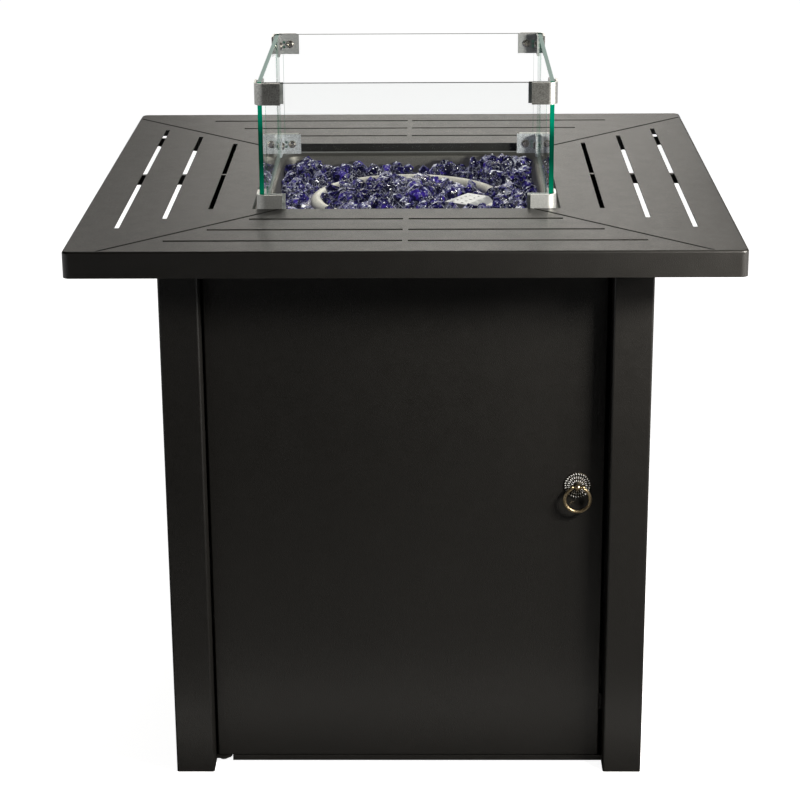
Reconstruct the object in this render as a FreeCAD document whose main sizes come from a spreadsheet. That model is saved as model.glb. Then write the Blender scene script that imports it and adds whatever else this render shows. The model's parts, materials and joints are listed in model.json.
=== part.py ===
import FreeCAD, Part
import math
import operator
import os
import random
import Sketcher
from FreeCAD import Placement, Rotation, Vector

# Gas fire pit table: a square steel table on a square cabinet, a burner pan of fire glass
# in its middle and a lift-off glass wind guard round the pan.
# Millimetres, +Z up. The origin is on the floor under the middle of the table and the
# cabinet door faces -Y.

os.makedirs("parts", exist_ok=True)
doc = FreeCAD.newDocument("FirePitTable")
sheet = doc.addObject("Spreadsheet::Sheet", "Sizes")

# Driving dimensions
DIMENSIONS = {
    "top_width": 711.2,
    "table_height": 645,
    "apron_depth": 28.5,
    "top_gauge": 1.5,
    "top_corner": 8,
    "top_bend": 2.5,
    "opening_width": 342,
    "lip_depth": 10,
    "slot_width": 5.5,
    "slot_bridge": 6,
    "slot_first": 217,
    "slot_pitch": 47,
    "slot_half": 171,
    "slot_growth": 42,
    "seam_width": 1.8,
    "seam_depth": 0.9,
    "seam_front_edge": 320,
    "seam_front_opening": 141,
    "seam_rear_edge": 328,
    "seam_rear_opening": 150,
    "base_half": 268,
    "leg_face": 43.5,
    "leg_side": 56,
    "leg_return": 50,
    "leg_lip": 25,
    "post_gauge": 1.5,
    "post_bend": 2.5,
    "sheet_gauge": 1.2,
    "panel_recess": 12,
    "panel_flange": 15,
    "panel_foot": 12,
    "door_recess": 25,
    "door_left": 222,
    "door_right": 220.5,
    "door_foot": 10,
    "door_top": 594,
    "door_depth": 17,
    "door_lip": 12,
    "hinge_inset": 6,
    "hinge_setback": 5.5,
    "hinge_pin": 2.5,
    "shelf_foot": 2,
    "shelf_top": 9,
    "pan_half": 154,
    "pan_floor_half": 148,
    "pan_flange_half": 186,
    "pan_depth": 66,
    "pan_gauge": 1,
    "pan_corner": 20,
    "pan_rim": 4,
    "pan_floor_corner": 14,
    "bed_top": 612,
    "burner_radius": 107.5,
    "burner_tube": 7.5,
    "burner_height": 612.5,
    "shield_floor": 552,
    "pilot_turn": 57,
    "pilot_out_x": 72,
    "pilot_out_y": -27,
    "pilot_length": 50,
    "pilot_width": 38,
    "pilot_top": 621,
    "pilot_fold": -11,
    "pilot_drop": 6,
    "control_height": 552,
    "knob_y": 30,
    "igniter_y": -40,
    "guard_half": 166.5,
    "guard_foot": 635.3,
    "guard_top": 784,
    "glass_gauge": 5,
    "clamp_height": 24,
    "clamp_arm": 28.8,
    "clamp_gauge": 2,
    "clamp_bend": 10,
    "pad_gauge": 1.2,
    "pane_gap": 12.3,
    "screw_inset": 13.3,
    "handle_x": 190.4,
    "handle_z": 344.8,
    "handle_standoff": 8.5,
    "ring_radius": 14.3,
    "ring_wire": 1.9,
    "clearance": 0.3,
}


class Size:
    """A length that remembers the spreadsheet expression it comes from."""

    def __init__(self, value, text):
        self.value = value
        self.text = text

    def __add__(self, other):
        return combine(self, other, "+")

    def __radd__(self, other):
        return combine(other, self, "+")

    def __sub__(self, other):
        return combine(self, other, "-")

    def __rsub__(self, other):
        return combine(other, self, "-")

    def __mul__(self, other):
        return combine(self, other, "*")

    def __rmul__(self, other):
        return combine(other, self, "*")

    def __truediv__(self, other):
        return combine(self, other, "/")

    def __neg__(self):
        return combine(0, self, "-")


OPERATORS = {"+": operator.add, "-": operator.sub, "*": operator.mul, "/": operator.truediv}


def as_size(number):
    return number if isinstance(number, Size) else Size(float(number), f"({float(number)})")


def combine(left, right, sign):
    """Join two lengths with an arithmetic sign."""
    left, right = as_size(left), as_size(right)
    return Size(OPERATORS[sign](left.value, right.value), f"({left.text} {sign} {right.text})")


def fill_sheet():
    for row, (name, number) in enumerate(DIMENSIONS.items(), start=1):
        sheet.set(f"A{row}", name)
        sheet.set(f"B{row}", str(number))
        sheet.setAlias(f"B{row}", name)
    doc.recompute()


class Driving:
    """The sheet's cells as lengths, by alias."""

    def __getattr__(self, name):
        return Size(float(DIMENSIONS[name]), f"Sizes.{name}")


fill_sheet()
D = Driving()
NODES = {}


# Helpers that bind shapes to the sheet


def bind(target, properties):
    for name, number in properties.items():
        target.setExpression(name, as_size(number).text)


def node(thing, label):
    """Name a finished sub-part; its label is its file name."""
    thing.Label = label
    NODES[label] = thing
    return thing


def point(x, y, z):
    return Vector(as_size(x).value, as_size(y).value, as_size(z).value)


def place(thing, at, rotation=None):
    thing.Placement = Placement(point(*at), rotation or Rotation())
    bind(thing, {f"Placement.Base.{axis}": number for axis, number in zip("xyz", at)})
    return thing


TURN = {
    "+z": Rotation(),
    "-z": Rotation(Vector(1, 0, 0), 180),
    "+x": Rotation(Vector(0, 1, 0), 90),
    "-x": Rotation(Vector(0, 1, 0), -90),
    "+y": Rotation(Vector(1, 0, 0), -90),
    "-y": Rotation(Vector(1, 0, 0), 90),
}


def box(low, high, name="block"):
    solid = doc.addObject("Part::Box", name)
    sides = {side: b - a for side, a, b in zip(("Length", "Width", "Height"), low, high)}
    bind(solid, sides)
    return place(solid, low)


def rod(start, direction, radius, length, name="rod"):
    solid = doc.addObject("Part::Cylinder", name)
    bind(solid, {"Radius": radius, "Height": length})
    return place(solid, start, TURN[direction])


def hexagon(start, direction, across_flats, length, name="hexagon"):
    solid = doc.addObject("Part::Prism", name)
    solid.Polygon = 6
    bind(solid, {"Circumradius": as_size(across_flats) / math.sqrt(3), "Height": length})
    return place(solid, start, TURN[direction])


def torus(centre, direction, radius, wire, name="torus"):
    solid = doc.addObject("Part::Torus", name)
    bind(solid, {"Radius1": radius, "Radius2": wire})
    return place(solid, centre, TURN[direction])


def fuse(*solids):
    joined = doc.addObject("Part::MultiFuse", "fuse")
    joined.Shapes = list(solids)
    joined.Refine = True
    return joined


def cut(base, *tools):
    result = doc.addObject("Part::Cut", "cut")
    result.Base = base
    result.Tool = tools[0] if len(tools) == 1 else fuse(*tools)
    return result


def group(solids):
    """Separate solids that share one node."""
    members = doc.addObject("Part::Compound", "group")
    members.Links = list(solids)
    return members


def copy_of(thing, placement):
    link = doc.addObject("App::Link", "copy")
    link.LinkedObject = thing
    link.Placement = placement
    return link


def about_z(degrees):
    return Placement(Vector(0, 0, 0), Rotation(Vector(0, 0, 1), degrees))


# Part Design helpers: levels and directions are the table's own


def new_body(name):
    return doc.addObject("PartDesign::Body", name)


def origin_feature(body, role):
    return [item for item in body.Origin.OriginFeatures if item.Role == role][0]


def sketch_on(body, plane, level):
    """A sketch parallel to an origin plane, at a level along its world axis."""
    sketch = body.newObject("Sketcher::SketchObject", "outline")
    sketch.AttachmentSupport = [(origin_feature(body, f"{plane}_Plane"), "")]
    sketch.MapMode = "FlatFace"
    offset = -as_size(level) if plane == "XZ" else as_size(level)
    bind(sketch, {"AttachmentOffset.Base.z": offset})
    sketch.Label2 = plane
    return sketch


def fix(sketch, kind, piece, number, at=1):
    number = as_size(number)
    index = sketch.addConstraint(Sketcher.Constraint(kind, -1, 1, piece, at, number.value))
    sketch.setExpression(f"Constraints[{index}]", number.text)


def polygon(sketch, corners):
    """A closed loop of straight lines through corners fixed from the origin."""
    first = sketch.GeometryCount
    count = len(corners)
    spots = [Vector(as_size(u).value, as_size(v).value, 0) for u, v in corners]
    for k in range(count):
        sketch.addGeometry(Part.LineSegment(spots[k], spots[(k + 1) % count]))
    for k in range(count):
        sketch.addConstraint(Sketcher.Constraint("Coincident", first + k, 2, first + (k + 1) % count, 1))
    for k, (u, v) in enumerate(corners):
        fix(sketch, "DistanceX", first + k, u)
        fix(sketch, "DistanceY", first + k, v)
    return sketch


def rectangle(sketch, u0, u1, v0, v1):
    return polygon(sketch, [(u0, v0), (u1, v0), (u1, v1), (u0, v1)])


def circle(sketch, u, v, radius):
    u, v, radius = as_size(u), as_size(v), as_size(radius)
    index = sketch.addGeometry(Part.Circle(Vector(u.value, v.value, 0), Vector(0, 0, 1), radius.value))
    fix(sketch, "DistanceX", index, u, at=3)
    fix(sketch, "DistanceY", index, v, at=3)
    size = sketch.addConstraint(Sketcher.Constraint("Radius", index, radius.value))
    sketch.setExpression(f"Constraints[{size}]", radius.text)
    return sketch


def rounded_square(sketch, half, corner):
    """A square about the origin whose corners are tangent arcs."""
    half, corner = as_size(half), as_size(corner)
    h, inner = half.value, half.value - corner.value
    first = sketch.GeometryCount
    ends = [((inner, h), (-inner, h)), ((-h, inner), (-h, -inner)),
            ((-inner, -h), (inner, -h)), ((h, -inner), (h, inner))]
    centres = [(-inner, inner), (-inner, -inner), (inner, -inner), (inner, inner)]
    for k, (start, end) in enumerate(ends):
        sketch.addGeometry(Part.LineSegment(Vector(*start, 0), Vector(*end, 0)))
        arc = Part.Circle(Vector(*centres[k], 0), Vector(0, 0, 1), corner.value)
        angle = math.radians(90 * (k + 1))
        sketch.addGeometry(Part.ArcOfCircle(arc, angle, angle + math.pi / 2))
    for k in range(4):
        line, arc, after = first + 2 * k, first + 2 * k + 1, first + (2 * k + 2) % 8
        sketch.addConstraint(Sketcher.Constraint("Tangent", line, 2, arc, 1))
        sketch.addConstraint(Sketcher.Constraint("Tangent", arc, 2, after, 1))
        sketch.addConstraint(Sketcher.Constraint("Vertical" if k % 2 else "Horizontal", line))
        if k:
            sketch.addConstraint(Sketcher.Constraint("Equal", first + 1, arc))
    size = sketch.addConstraint(Sketcher.Constraint("Radius", first + 1, corner.value))
    sketch.setExpression(f"Constraints[{size}]", corner.text)
    fix(sketch, "DistanceY", first, half)
    fix(sketch, "DistanceX", first + 2, -half)
    fix(sketch, "DistanceY", first + 4, -half)
    fix(sketch, "DistanceX", first + 6, half)
    return sketch


def extrude(body, kind, sketch, length, direction):
    """A Pad or Pocket of a sketch, up or down its world axis."""
    feature = body.newObject(f"PartDesign::{kind}", kind.lower())
    feature.Profile = sketch
    bind(feature, {"Length": length})
    along_normal = (direction == "+") != (sketch.Label2 == "XZ")
    feature.Reversed = not along_normal if kind == "Pad" else along_normal
    body.Tip = feature
    return feature


def pad(body, sketch, length, direction="+"):
    return extrude(body, "Pad", sketch, length, direction)


def pocket(body, sketch, length, direction="-"):
    return extrude(body, "Pocket", sketch, length, direction)


def loft(body, kind, sections):
    feature = body.newObject(f"PartDesign::{kind}Loft", "loft")
    feature.Profile = sections[0]
    feature.Sections = sections[1:]
    feature.Ruled = True
    body.Tip = feature
    return feature


def revolve(body, sketch, axis="Z_Axis"):
    feature = body.newObject("PartDesign::Revolution", "revolution")
    feature.Profile = sketch
    feature.ReferenceAxis = (origin_feature(body, axis), [""])
    feature.Angle = 360
    body.Tip = feature
    return feature


def polar(body, features, count):
    pattern = body.newObject("PartDesign::PolarPattern", "ring_of")
    pattern.Originals = features
    pattern.Axis = (origin_feature(body, "Z_Axis"), [""])
    pattern.Angle = 360
    pattern.Occurrences = count
    body.Tip = pattern
    return pattern


def soften(body, radius, wanted):
    """Fillet the edges of the body so far that pass a test."""
    doc.recompute()
    tip = body.Tip
    names = [f"Edge{k}" for k, edge in enumerate(tip.Shape.Edges, start=1) if wanted(edge)]
    feature = body.newObject("PartDesign::Fillet", "bend")
    feature.Base = (tip, names)
    bind(feature, {"Radius": radius})
    body.Tip = feature
    return feature


def near(a, b):
    return abs(a - as_size(b).value) < 0.05


def upright(edge):
    """A straight vertical edge."""
    ends = [vertex.Point for vertex in edge.Vertexes]
    return len(ends) == 2 and near(ends[0].x, ends[1].x) and near(ends[0].y, ends[1].y)


def upright_at(spots):
    """A test for straight vertical edges over any of some plan points."""
    places = [(as_size(x).value, as_size(y).value) for x, y in spots]

    def wanted(edge):
        spot = edge.Vertexes[0].Point
        return upright(edge) and any(near(spot.x, x) and near(spot.y, y) for x, y in places)
    return wanted


def level_at(height):
    """A test for edges that lie at one height."""
    def wanted(edge):
        box_of = edge.BoundBox
        return near(box_of.ZMin, height) and near(box_of.ZMax, height)
    return wanted


# Lengths that several pieces share
TOP_HALF = D.top_width / 2
UNDER_TOP = D.table_height - D.top_gauge
OPENING = D.opening_width / 2
FLANGE_TOP = D.table_height - D.lip_depth
PAN_FLOOR = FLANGE_TOP - D.pan_depth
LEG_INNER = D.base_half - D.leg_face
LEG_BACK = D.base_half - D.leg_return
LEG_EDGE = D.base_half - D.leg_side
PANEL_FACE = D.base_half - D.panel_recess
DOOR_FACE = D.base_half - D.door_recess
HINGE_X = D.hinge_inset - D.door_left
HINGE_Y = D.hinge_setback - DOOR_FACE
RAIL_OUT = D.pan_flange_half
PIVOT_Y = -(DOOR_FACE + D.handle_standoff)
GLASS_OUT = D.guard_half - D.clamp_gauge - D.pad_gauge
GLASS_IN = GLASS_OUT - D.glass_gauge
PLATE_GAUGE = 1.5
PLATE_IN = GLASS_IN - PLATE_GAUGE
CLAMP_SCREW_Z = (D.guard_foot + D.clamp_height / 2, D.guard_top - D.clamp_height / 2)
CONTROL_FACE = PANEL_FACE + 1.5


# Table top


def table_top():
    """Pressed steel top: rolled apron, slots, mitre seams and a turned-down opening."""
    body = new_body("TableTop")
    skirt = D.table_height - D.apron_depth
    pad(body, rectangle(sketch_on(body, "XY", skirt), -TOP_HALF, TOP_HALF, -TOP_HALF, TOP_HALF),
        D.apron_depth)
    soften(body, D.top_corner, upright)
    soften(body, D.top_bend, level_at(D.table_height))
    hollow = rounded_square(sketch_on(body, "XY", skirt), TOP_HALF - D.top_gauge,
                            D.top_corner - D.top_gauge)
    lip = OPENING + D.top_gauge
    rectangle(hollow, -lip, lip, -lip, lip)
    pocket(body, hollow, D.apron_depth - D.top_gauge, "+")
    below_lip = rectangle(sketch_on(body, "XY", skirt), -lip, lip, -lip, lip)
    pocket(body, below_lip, D.apron_depth - D.lip_depth, "+")
    opening = rectangle(sketch_on(body, "XY", D.table_height), -OPENING, OPENING, -OPENING, OPENING)
    pocket(body, opening, D.lip_depth + 1)
    slots = sketch_on(body, "XY", D.table_height)
    for k in range(3):
        middle = D.slot_first + D.slot_pitch * k
        reach = D.slot_half + D.slot_growth * k
        for side in (-1, 1):
            rectangle(slots, middle - D.slot_width / 2, middle + D.slot_width / 2,
                      side * D.slot_bridge / 2, side * reach)
    polar(body, [pocket(body, slots, D.top_gauge + 1)], 4)
    pocket(body, mitre_seams(sketch_on(body, "XY", D.table_height)), D.seam_depth)
    node(body, "table_top")


def mitre_seams(sketch):
    """Four slanted grooves where the top's panels meet, from the rolled edge to the opening."""
    edge = TOP_HALF - D.top_bend - 1
    for side in (-1, 1):
        wide = side * D.seam_width
        x0, x1 = side * D.seam_front_edge, side * D.seam_front_opening
        polygon(sketch, [(x0, -edge), (x0 - wide, -edge), (x1 - wide, -OPENING), (x1, -OPENING)])
        x0, x1 = side * edge, side * OPENING
        y0, y1 = D.seam_rear_edge, D.seam_rear_opening
        polygon(sketch, [(x0, y0), (x0, y0 - D.seam_width), (x1, y1 - D.seam_width), (x1, y1)])
    return sketch


def stiffener(label, start, quarter):
    """Flat bar on edge under one panel of the top, tapered at its outer end."""
    body = new_body("Stiffener")
    end = TOP_HALF - D.top_gauge
    low = UNDER_TOP - 10.5
    profile = polygon(sketch_on(body, "XZ", 1), [
        (start, low), (end - 12, low), (end, low + 5), (end, UNDER_TOP), (start, UNDER_TOP)])
    pad(body, profile, 2, "-")
    body.Placement = about_z(90 * quarter)
    node(body, label)


def gusset(label, side, front):
    """Tapered bracket welded beside a leg that carries the overhang."""
    body = new_body("Gusset")
    face, tip = side * D.base_half, side * 350
    web = polygon(sketch_on(body, "XZ", front), [
        (face, UNDER_TOP), (tip, UNDER_TOP), (tip, UNDER_TOP - 6), (face, UNDER_TOP - 17)])
    pad(body, web, 2)
    foot = rectangle(sketch_on(body, "XZ", front + 2), face, face + side * 1.5,
                     UNDER_TOP - 17, UNDER_TOP)
    pad(body, foot, 16)
    node(body, label)


# Cabinet


def leg(label, side, end):
    """Corner post folded from one sheet: face, side and two returns."""
    body = new_body("Leg")
    out, gauge = D.base_half, D.post_gauge
    section = [(LEG_INNER, LEG_BACK), (LEG_INNER, out), (out, out), (out, LEG_EDGE),
               (out - D.leg_lip, LEG_EDGE), (out - D.leg_lip, LEG_EDGE + gauge),
               (out - gauge, LEG_EDGE + gauge), (out - gauge, out - gauge),
               (LEG_INNER + gauge, out - gauge), (LEG_INNER + gauge, LEG_BACK)]
    section = [(side * x, end * y) for x, y in section]
    pad(body, polygon(sketch_on(body, "XY", 0), section), UNDER_TOP)
    soften(body, D.post_bend, upright_at(section[1:4]))
    soften(body, D.post_bend - gauge, upright_at(section[6:9]))
    return label, body


def folded_panel(name, plane, side, half_width, windows):
    """Cabinet panel: a flat sheet with four edges folded inwards, and windows cut in it."""
    body = new_body(name)
    face = side * PANEL_FACE
    inwards, outwards = ("-", "+") if side > 0 else ("+", "-")
    outline = rectangle(sketch_on(body, plane, face), -half_width, half_width,
                        D.panel_foot, UNDER_TOP)
    pad(body, outline, D.panel_flange, inwards)
    gauge = D.sheet_gauge
    hollow = rectangle(sketch_on(body, plane, face - side * D.panel_flange), gauge - half_width,
                       half_width - gauge, D.panel_foot + gauge, UNDER_TOP - gauge)
    pocket(body, hollow, D.panel_flange - gauge, outwards)
    cuts = sketch_on(body, plane, face)
    for window in windows:
        rectangle(cuts, *window)
    pocket(body, cuts, gauge + 1, inwards)
    return body


def vents(height, count, pitch):
    """A row of level ventilation slots across a panel."""
    first = -(count - 1) / 2
    return [((first + k) * pitch - 22, (first + k) * pitch + 22, height, height + 6)
            for k in range(count)]


def header_rail():
    """Channel over the door that ties the front legs together."""
    body = new_body("HeaderRail")
    face, gauge, low = -DOOR_FACE, D.sheet_gauge, D.door_top + 6
    back = face + D.panel_flange
    profile = polygon(sketch_on(body, "YZ", -LEG_INNER), [
        (face, low), (back, low), (back, low + gauge), (face + gauge, low + gauge),
        (face + gauge, UNDER_TOP - gauge), (back, UNDER_TOP - gauge), (back, UNDER_TOP),
        (face, UNDER_TOP)])
    pad(body, profile, 2 * LEG_INNER)
    node(body, "header_rail")


def base_shelf():
    """Shallow tray for the gas cylinder, notched for the legs and the left hinge tab, with vent slots."""
    body = new_body("BaseShelf")
    gauge, notch, gap = D.sheet_gauge, 19.5, D.clearance

    def plan(shrink):
        front, back = shrink - DOOR_FACE, PANEL_FACE - gauge - shrink
        step, side = front + 14.5, LEG_EDGE - gap - shrink
        narrow, wide = LEG_INNER - notch - shrink, LEG_INNER - shrink
        broad = PANEL_FACE - gauge - gap - shrink
        right = [(wide, front), (wide, -side), (broad, -side), (broad, side), (wide, side), (wide, back)]
        left = [(-x, y) for x, y in reversed(right[1:])]
        return right + left + [(-wide, step), (-narrow, step), (-narrow, front)]
    pad(body, polygon(sketch_on(body, "XY", D.shelf_foot), plan(0)), D.shelf_top - D.shelf_foot)
    pocket(body, polygon(sketch_on(body, "XY", D.shelf_foot), plan(gauge)),
           D.shelf_top - D.shelf_foot - gauge, "+")
    slots = sketch_on(body, "XY", D.shelf_top)
    for y in (-170, -140, 140, 170):
        for x in (-120, -40, 40, 120):
            rectangle(slots, x - 25, x + 25, y - 4, y + 4)
    pocket(body, slots, gauge + 1)
    node(body, "base_shelf")


def tank_locators():
    """Three tabs on the shelf that keep the cylinder's foot ring in place."""
    stand = box((106, -13, D.shelf_top), (108, 13, D.shelf_top + 15))
    foot = box((108, -13, D.shelf_top), (120, 13, D.shelf_top + 2))
    tab = fuse(stand, foot)
    node(group([copy_of(tab, about_z(90 + 120 * k)) for k in range(3)]), "tank_locators")


def pan_rail(label, side):
    """Angle under one side of the pan flange, from the header to the back panel."""
    body = new_body("PanRail")
    top, gauge = FLANGE_TOP - D.pan_gauge, D.post_gauge
    inner, low = RAIL_OUT - 26, top - 22
    profile = [(inner, top), (RAIL_OUT, top), (RAIL_OUT, low), (RAIL_OUT - gauge, low),
               (RAIL_OUT - gauge, top - gauge), (inner, top - gauge)]
    front = D.sheet_gauge - DOOR_FACE
    section = polygon(sketch_on(body, "XZ", front), [(side * x, z) for x, z in profile])
    pad(body, section, PANEL_FACE - D.sheet_gauge - front)
    node(body, label)


# Panel screws: each joins a folded flange to the leg beside it

PANEL_SCREW = 2.5
SCREW_HEIGHTS = (90, 560)


def panel_screw_seats():
    """Places and directions of the screws: the head's seat and the way the shank points."""
    seats = []
    for height in SCREW_HEIGHTS:
        for side in (-1, 1):
            for end, way in ((-1, "-y"), (1, "+y")):
                seats.append(((side * (PANEL_FACE - 8), end * (LEG_EDGE - D.sheet_gauge), height), way))
            seats.append(((side * (LEG_INNER - D.sheet_gauge), PANEL_FACE - 8, height),
                          "+x" if side > 0 else "-x"))
    return seats


def plate_screw_seats():
    """The four corners of the control plate."""
    return [((CONTROL_FACE, y - 5, D.control_height + z), "-x") for y in (-68, 68) for z in (-33, 33)]


BACKWARDS = {"+x": "-x", "-x": "+x", "+y": "-y", "-y": "+y"}


def pan_head(seat, way, head, height, shank, length):
    """A screw: a coned head on its seat and a plain shank."""
    cap = doc.addObject("Part::Cone", "head")
    bind(cap, {"Radius1": head, "Radius2": head * 0.7, "Height": height})
    place(cap, seat, TURN[BACKWARDS[way]])
    return fuse(cap, rod(seat, way, shank, length))


def panel_screws():
    screws = [pan_head(seat, way, 4.5, 2.8, PANEL_SCREW, 7)
              for seat, way in panel_screw_seats() + plate_screw_seats()]
    node(group(screws), "panel_screws")


def screw_holes():
    """Clear holes for every panel screw, through both sheets."""
    holes = [rod(seat, way, PANEL_SCREW + 0.1, 8)
             for seat, way in panel_screw_seats() + plate_screw_seats()]
    return group(holes)


# Door


def door_panel():
    """Folded door: front sheet, four edges and a lip down each side."""
    body = new_body("DoorPanel")
    gauge, back = D.sheet_gauge, D.door_depth - DOOR_FACE
    left, right = -D.door_left, D.door_right
    outline = rectangle(sketch_on(body, "XZ", -DOOR_FACE), left, right, D.door_foot, D.door_top)
    pad(body, outline, D.door_depth)
    soften(body, 1.5, upright_at([(left, -DOOR_FACE), (right, -DOOR_FACE)]))
    mouth = rectangle(sketch_on(body, "XZ", back), left + D.door_lip, right - D.door_lip,
                      D.door_foot + gauge, D.door_top - gauge)
    pocket(body, mouth, D.door_depth - gauge, "-")
    inside = rectangle(sketch_on(body, "XZ", back - gauge), left + gauge, right - gauge,
                       D.door_foot + gauge, D.door_top - gauge)
    pocket(body, inside, D.door_depth - 2 * gauge, "-")
    pins = circle(sketch_on(body, "XY", D.door_top + 1), HINGE_X, HINGE_Y, D.hinge_pin)
    pocket(body, pins, D.door_top - D.door_foot + 2)
    post = circle(sketch_on(body, "XZ", -DOOR_FACE - 1), D.handle_x, D.handle_z, 2)
    pocket(body, post, gauge + 2, "+")
    node(body, "door_panel")


def hinge_tabs():
    """Two drilled tabs on the left leg that hold the door's pins."""
    body = new_body("HingeTab")
    low, thick = D.door_foot - 3.8, 3
    x0, x1 = -LEG_INNER, HINGE_X + 10
    y0, y1 = -DOOR_FACE - 3.5, -DOOR_FACE + 14.2
    pad(body, rectangle(sketch_on(body, "XY", low), x0, x1, y0, y1), thick)
    soften(body, 8, upright_at([(x1, y0), (x1, y1)]))
    pocket(body, circle(sketch_on(body, "XY", low + thick), HINGE_X, HINGE_Y, D.hinge_pin + 0.1),
           thick + 1)
    rise = D.door_top + 0.8 - low
    upper = copy_of(body, Placement(point(0, 0, rise), Rotation()))
    upper.setExpression("Placement.Base.z", rise.text)
    node(group([copy_of(body, Placement()), upper]), "hinge_tabs")


def hinge_pins():
    """The lower pin has a head under its tab; the upper one is plain."""
    tab_foot = D.door_foot - 3.8
    head = rod((HINGE_X, HINGE_Y, tab_foot - D.clearance), "-z", 4.5, 3.4)
    shank = rod((HINGE_X, HINGE_Y, tab_foot - D.clearance), "+z", D.hinge_pin, 12)
    upper = rod((HINGE_X, HINGE_Y, D.door_top - 8), "+z", D.hinge_pin, 12.5)
    node(group([fuse(head, shank), upper]), "hinge_pins")


def strike_plate():
    """Steel plate on the door's lip that the magnet holds."""
    back = D.door_depth - DOOR_FACE
    node(box((D.door_right - 14, back, 56), (D.door_right - 1, back + 1, 82)), "strike_plate")


def magnet_catch():
    """Catch on the right leg: a block with a flanged mounting ear."""
    face = D.door_depth - DOOR_FACE + 1 + D.clearance
    block = box((LEG_INNER - 20, face, 59), (LEG_INNER, face + 15, 79))
    poles = cut(block, box((LEG_INNER - 16, face - 1, 66.5), (LEG_INNER - 5, face + 4, 71.5)))
    node(poles, "magnet_catch")


def handle_rosette():
    """Round cast backplate of the handle: rim, hollow ring and domed middle."""
    body = new_body("HandleRosette")
    profile = polygon(sketch_on(body, "XZ", 0), [
        (2, 0), (15, 0), (15, 1.6), (14, 2.6), (12.4, 2.4), (11.6, 1.4), (9.4, 1.8), (8, 3),
        (6.2, 3.2), (5.4, 4.2), (3.4, 5), (2, 5.1)])
    revolve(body, profile)
    body.Placement = Placement(point(D.handle_x, -DOOR_FACE, D.handle_z), TURN["-y"])
    node(body, "handle_rosette")


def handle_post():
    """Post through rosette and door, its drilled ball outside and its nut inside."""
    shank = rod((D.handle_x, PIVOT_Y, D.handle_z), "+y", 2, D.handle_standoff + D.sheet_gauge + 4)
    ball = doc.addObject("Part::Sphere", "ball")
    bind(ball, {"Radius": 3.3})
    place(ball, (D.handle_x, PIVOT_Y, D.handle_z))
    bore = rod((D.handle_x - 5, PIVOT_Y, D.handle_z), "+x", 1.08, 10)
    inside = D.sheet_gauge - DOOR_FACE
    nut = cut(hexagon((D.handle_x, inside, D.handle_z), "+y", 7, 3),
              rod((D.handle_x, inside - 1, D.handle_z), "+y", 2, 5))
    node(group([cut(fuse(shank, ball), bore), nut]), "handle_post")


def ring_pull():
    """Open ring whose beaded ends pivot in the ball of the post."""
    centre = (D.handle_x, PIVOT_Y, D.handle_z - D.ring_radius)
    hoop = torus(centre, "+y", D.ring_radius, D.ring_wire)
    gap = box((D.handle_x - 6, PIVOT_Y - 4, D.handle_z - 5), (D.handle_x + 6, PIVOT_Y + 4, D.handle_z + 4))
    pieces = [cut(hoop, gap)]
    for side, way in ((-1, "+x"), (1, "-x")):
        bead = doc.addObject("Part::Sphere", "bead")
        bind(bead, {"Radius": 2.4})
        pieces.append(place(bead, (D.handle_x + side * 6.2, PIVOT_Y, D.handle_z)))
        pieces.append(rod((D.handle_x + side * 6.2, PIVOT_Y, D.handle_z), way, 1, 5))
    node(fuse(*pieces), "ring_pull")


# Burner pan and burner


def pan_half_at(height):
    """Half width inside the tapered pan at a height."""
    rise = (as_size(height) - PAN_FLOOR) / D.pan_depth
    return D.pan_floor_half + (D.pan_half - D.pan_floor_half) * rise


def pan_corner_at(height):
    rise = (as_size(height) - PAN_FLOOR) / D.pan_depth
    return D.pan_floor_corner + (D.pan_corner - D.pan_floor_corner) * rise


RIM_STEPS = (0, 22.5, 45, 67.5, 90)


def pan_levels(thick):
    """Heights of one face of the pan and how far each stands out: rolled rim, wall, bevelled foot."""
    levels = []
    for angle in RIM_STEPS:
        turn, radius = math.radians(angle), D.pan_rim - thick
        levels.append((FLANGE_TOP - D.pan_rim + radius * math.cos(turn),
                       D.pan_rim - radius * math.sin(turn)))
    foot = PAN_FLOOR - thick
    return levels + [(foot + 8, thick), (foot, thick - 7)]


def burner_pan():
    """Drawn stainless pan: flange, rolled rim, tapered walls with round corners, drilled floor."""
    body = new_body("BurnerPan")
    gauge = D.pan_gauge
    pad(body, rounded_square(sketch_on(body, "XY", FLANGE_TOP - gauge), D.pan_flange_half, 10), gauge)

    def sections(thick):
        return [rounded_square(sketch_on(body, "XY", height), pan_half_at(height) + out,
                               pan_corner_at(height) + out * (1 if out.value > 0 else 0.5))
                for height, out in pan_levels(as_size(thick))]
    loft(body, "Additive", sections(gauge))
    loft(body, "Subtractive", sections(0))
    holes = sketch_on(body, "XY", PAN_FLOOR)
    circle(holes, 0, 0, 10.5)
    circle(holes, D.pilot_out_x, D.pilot_out_y, 15)
    for x in (-110, 110):
        for y in (-110, 110):
            circle(holes, x, y, 3)
    pocket(body, holes, gauge + 1)
    node(body, "burner_pan")


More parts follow.
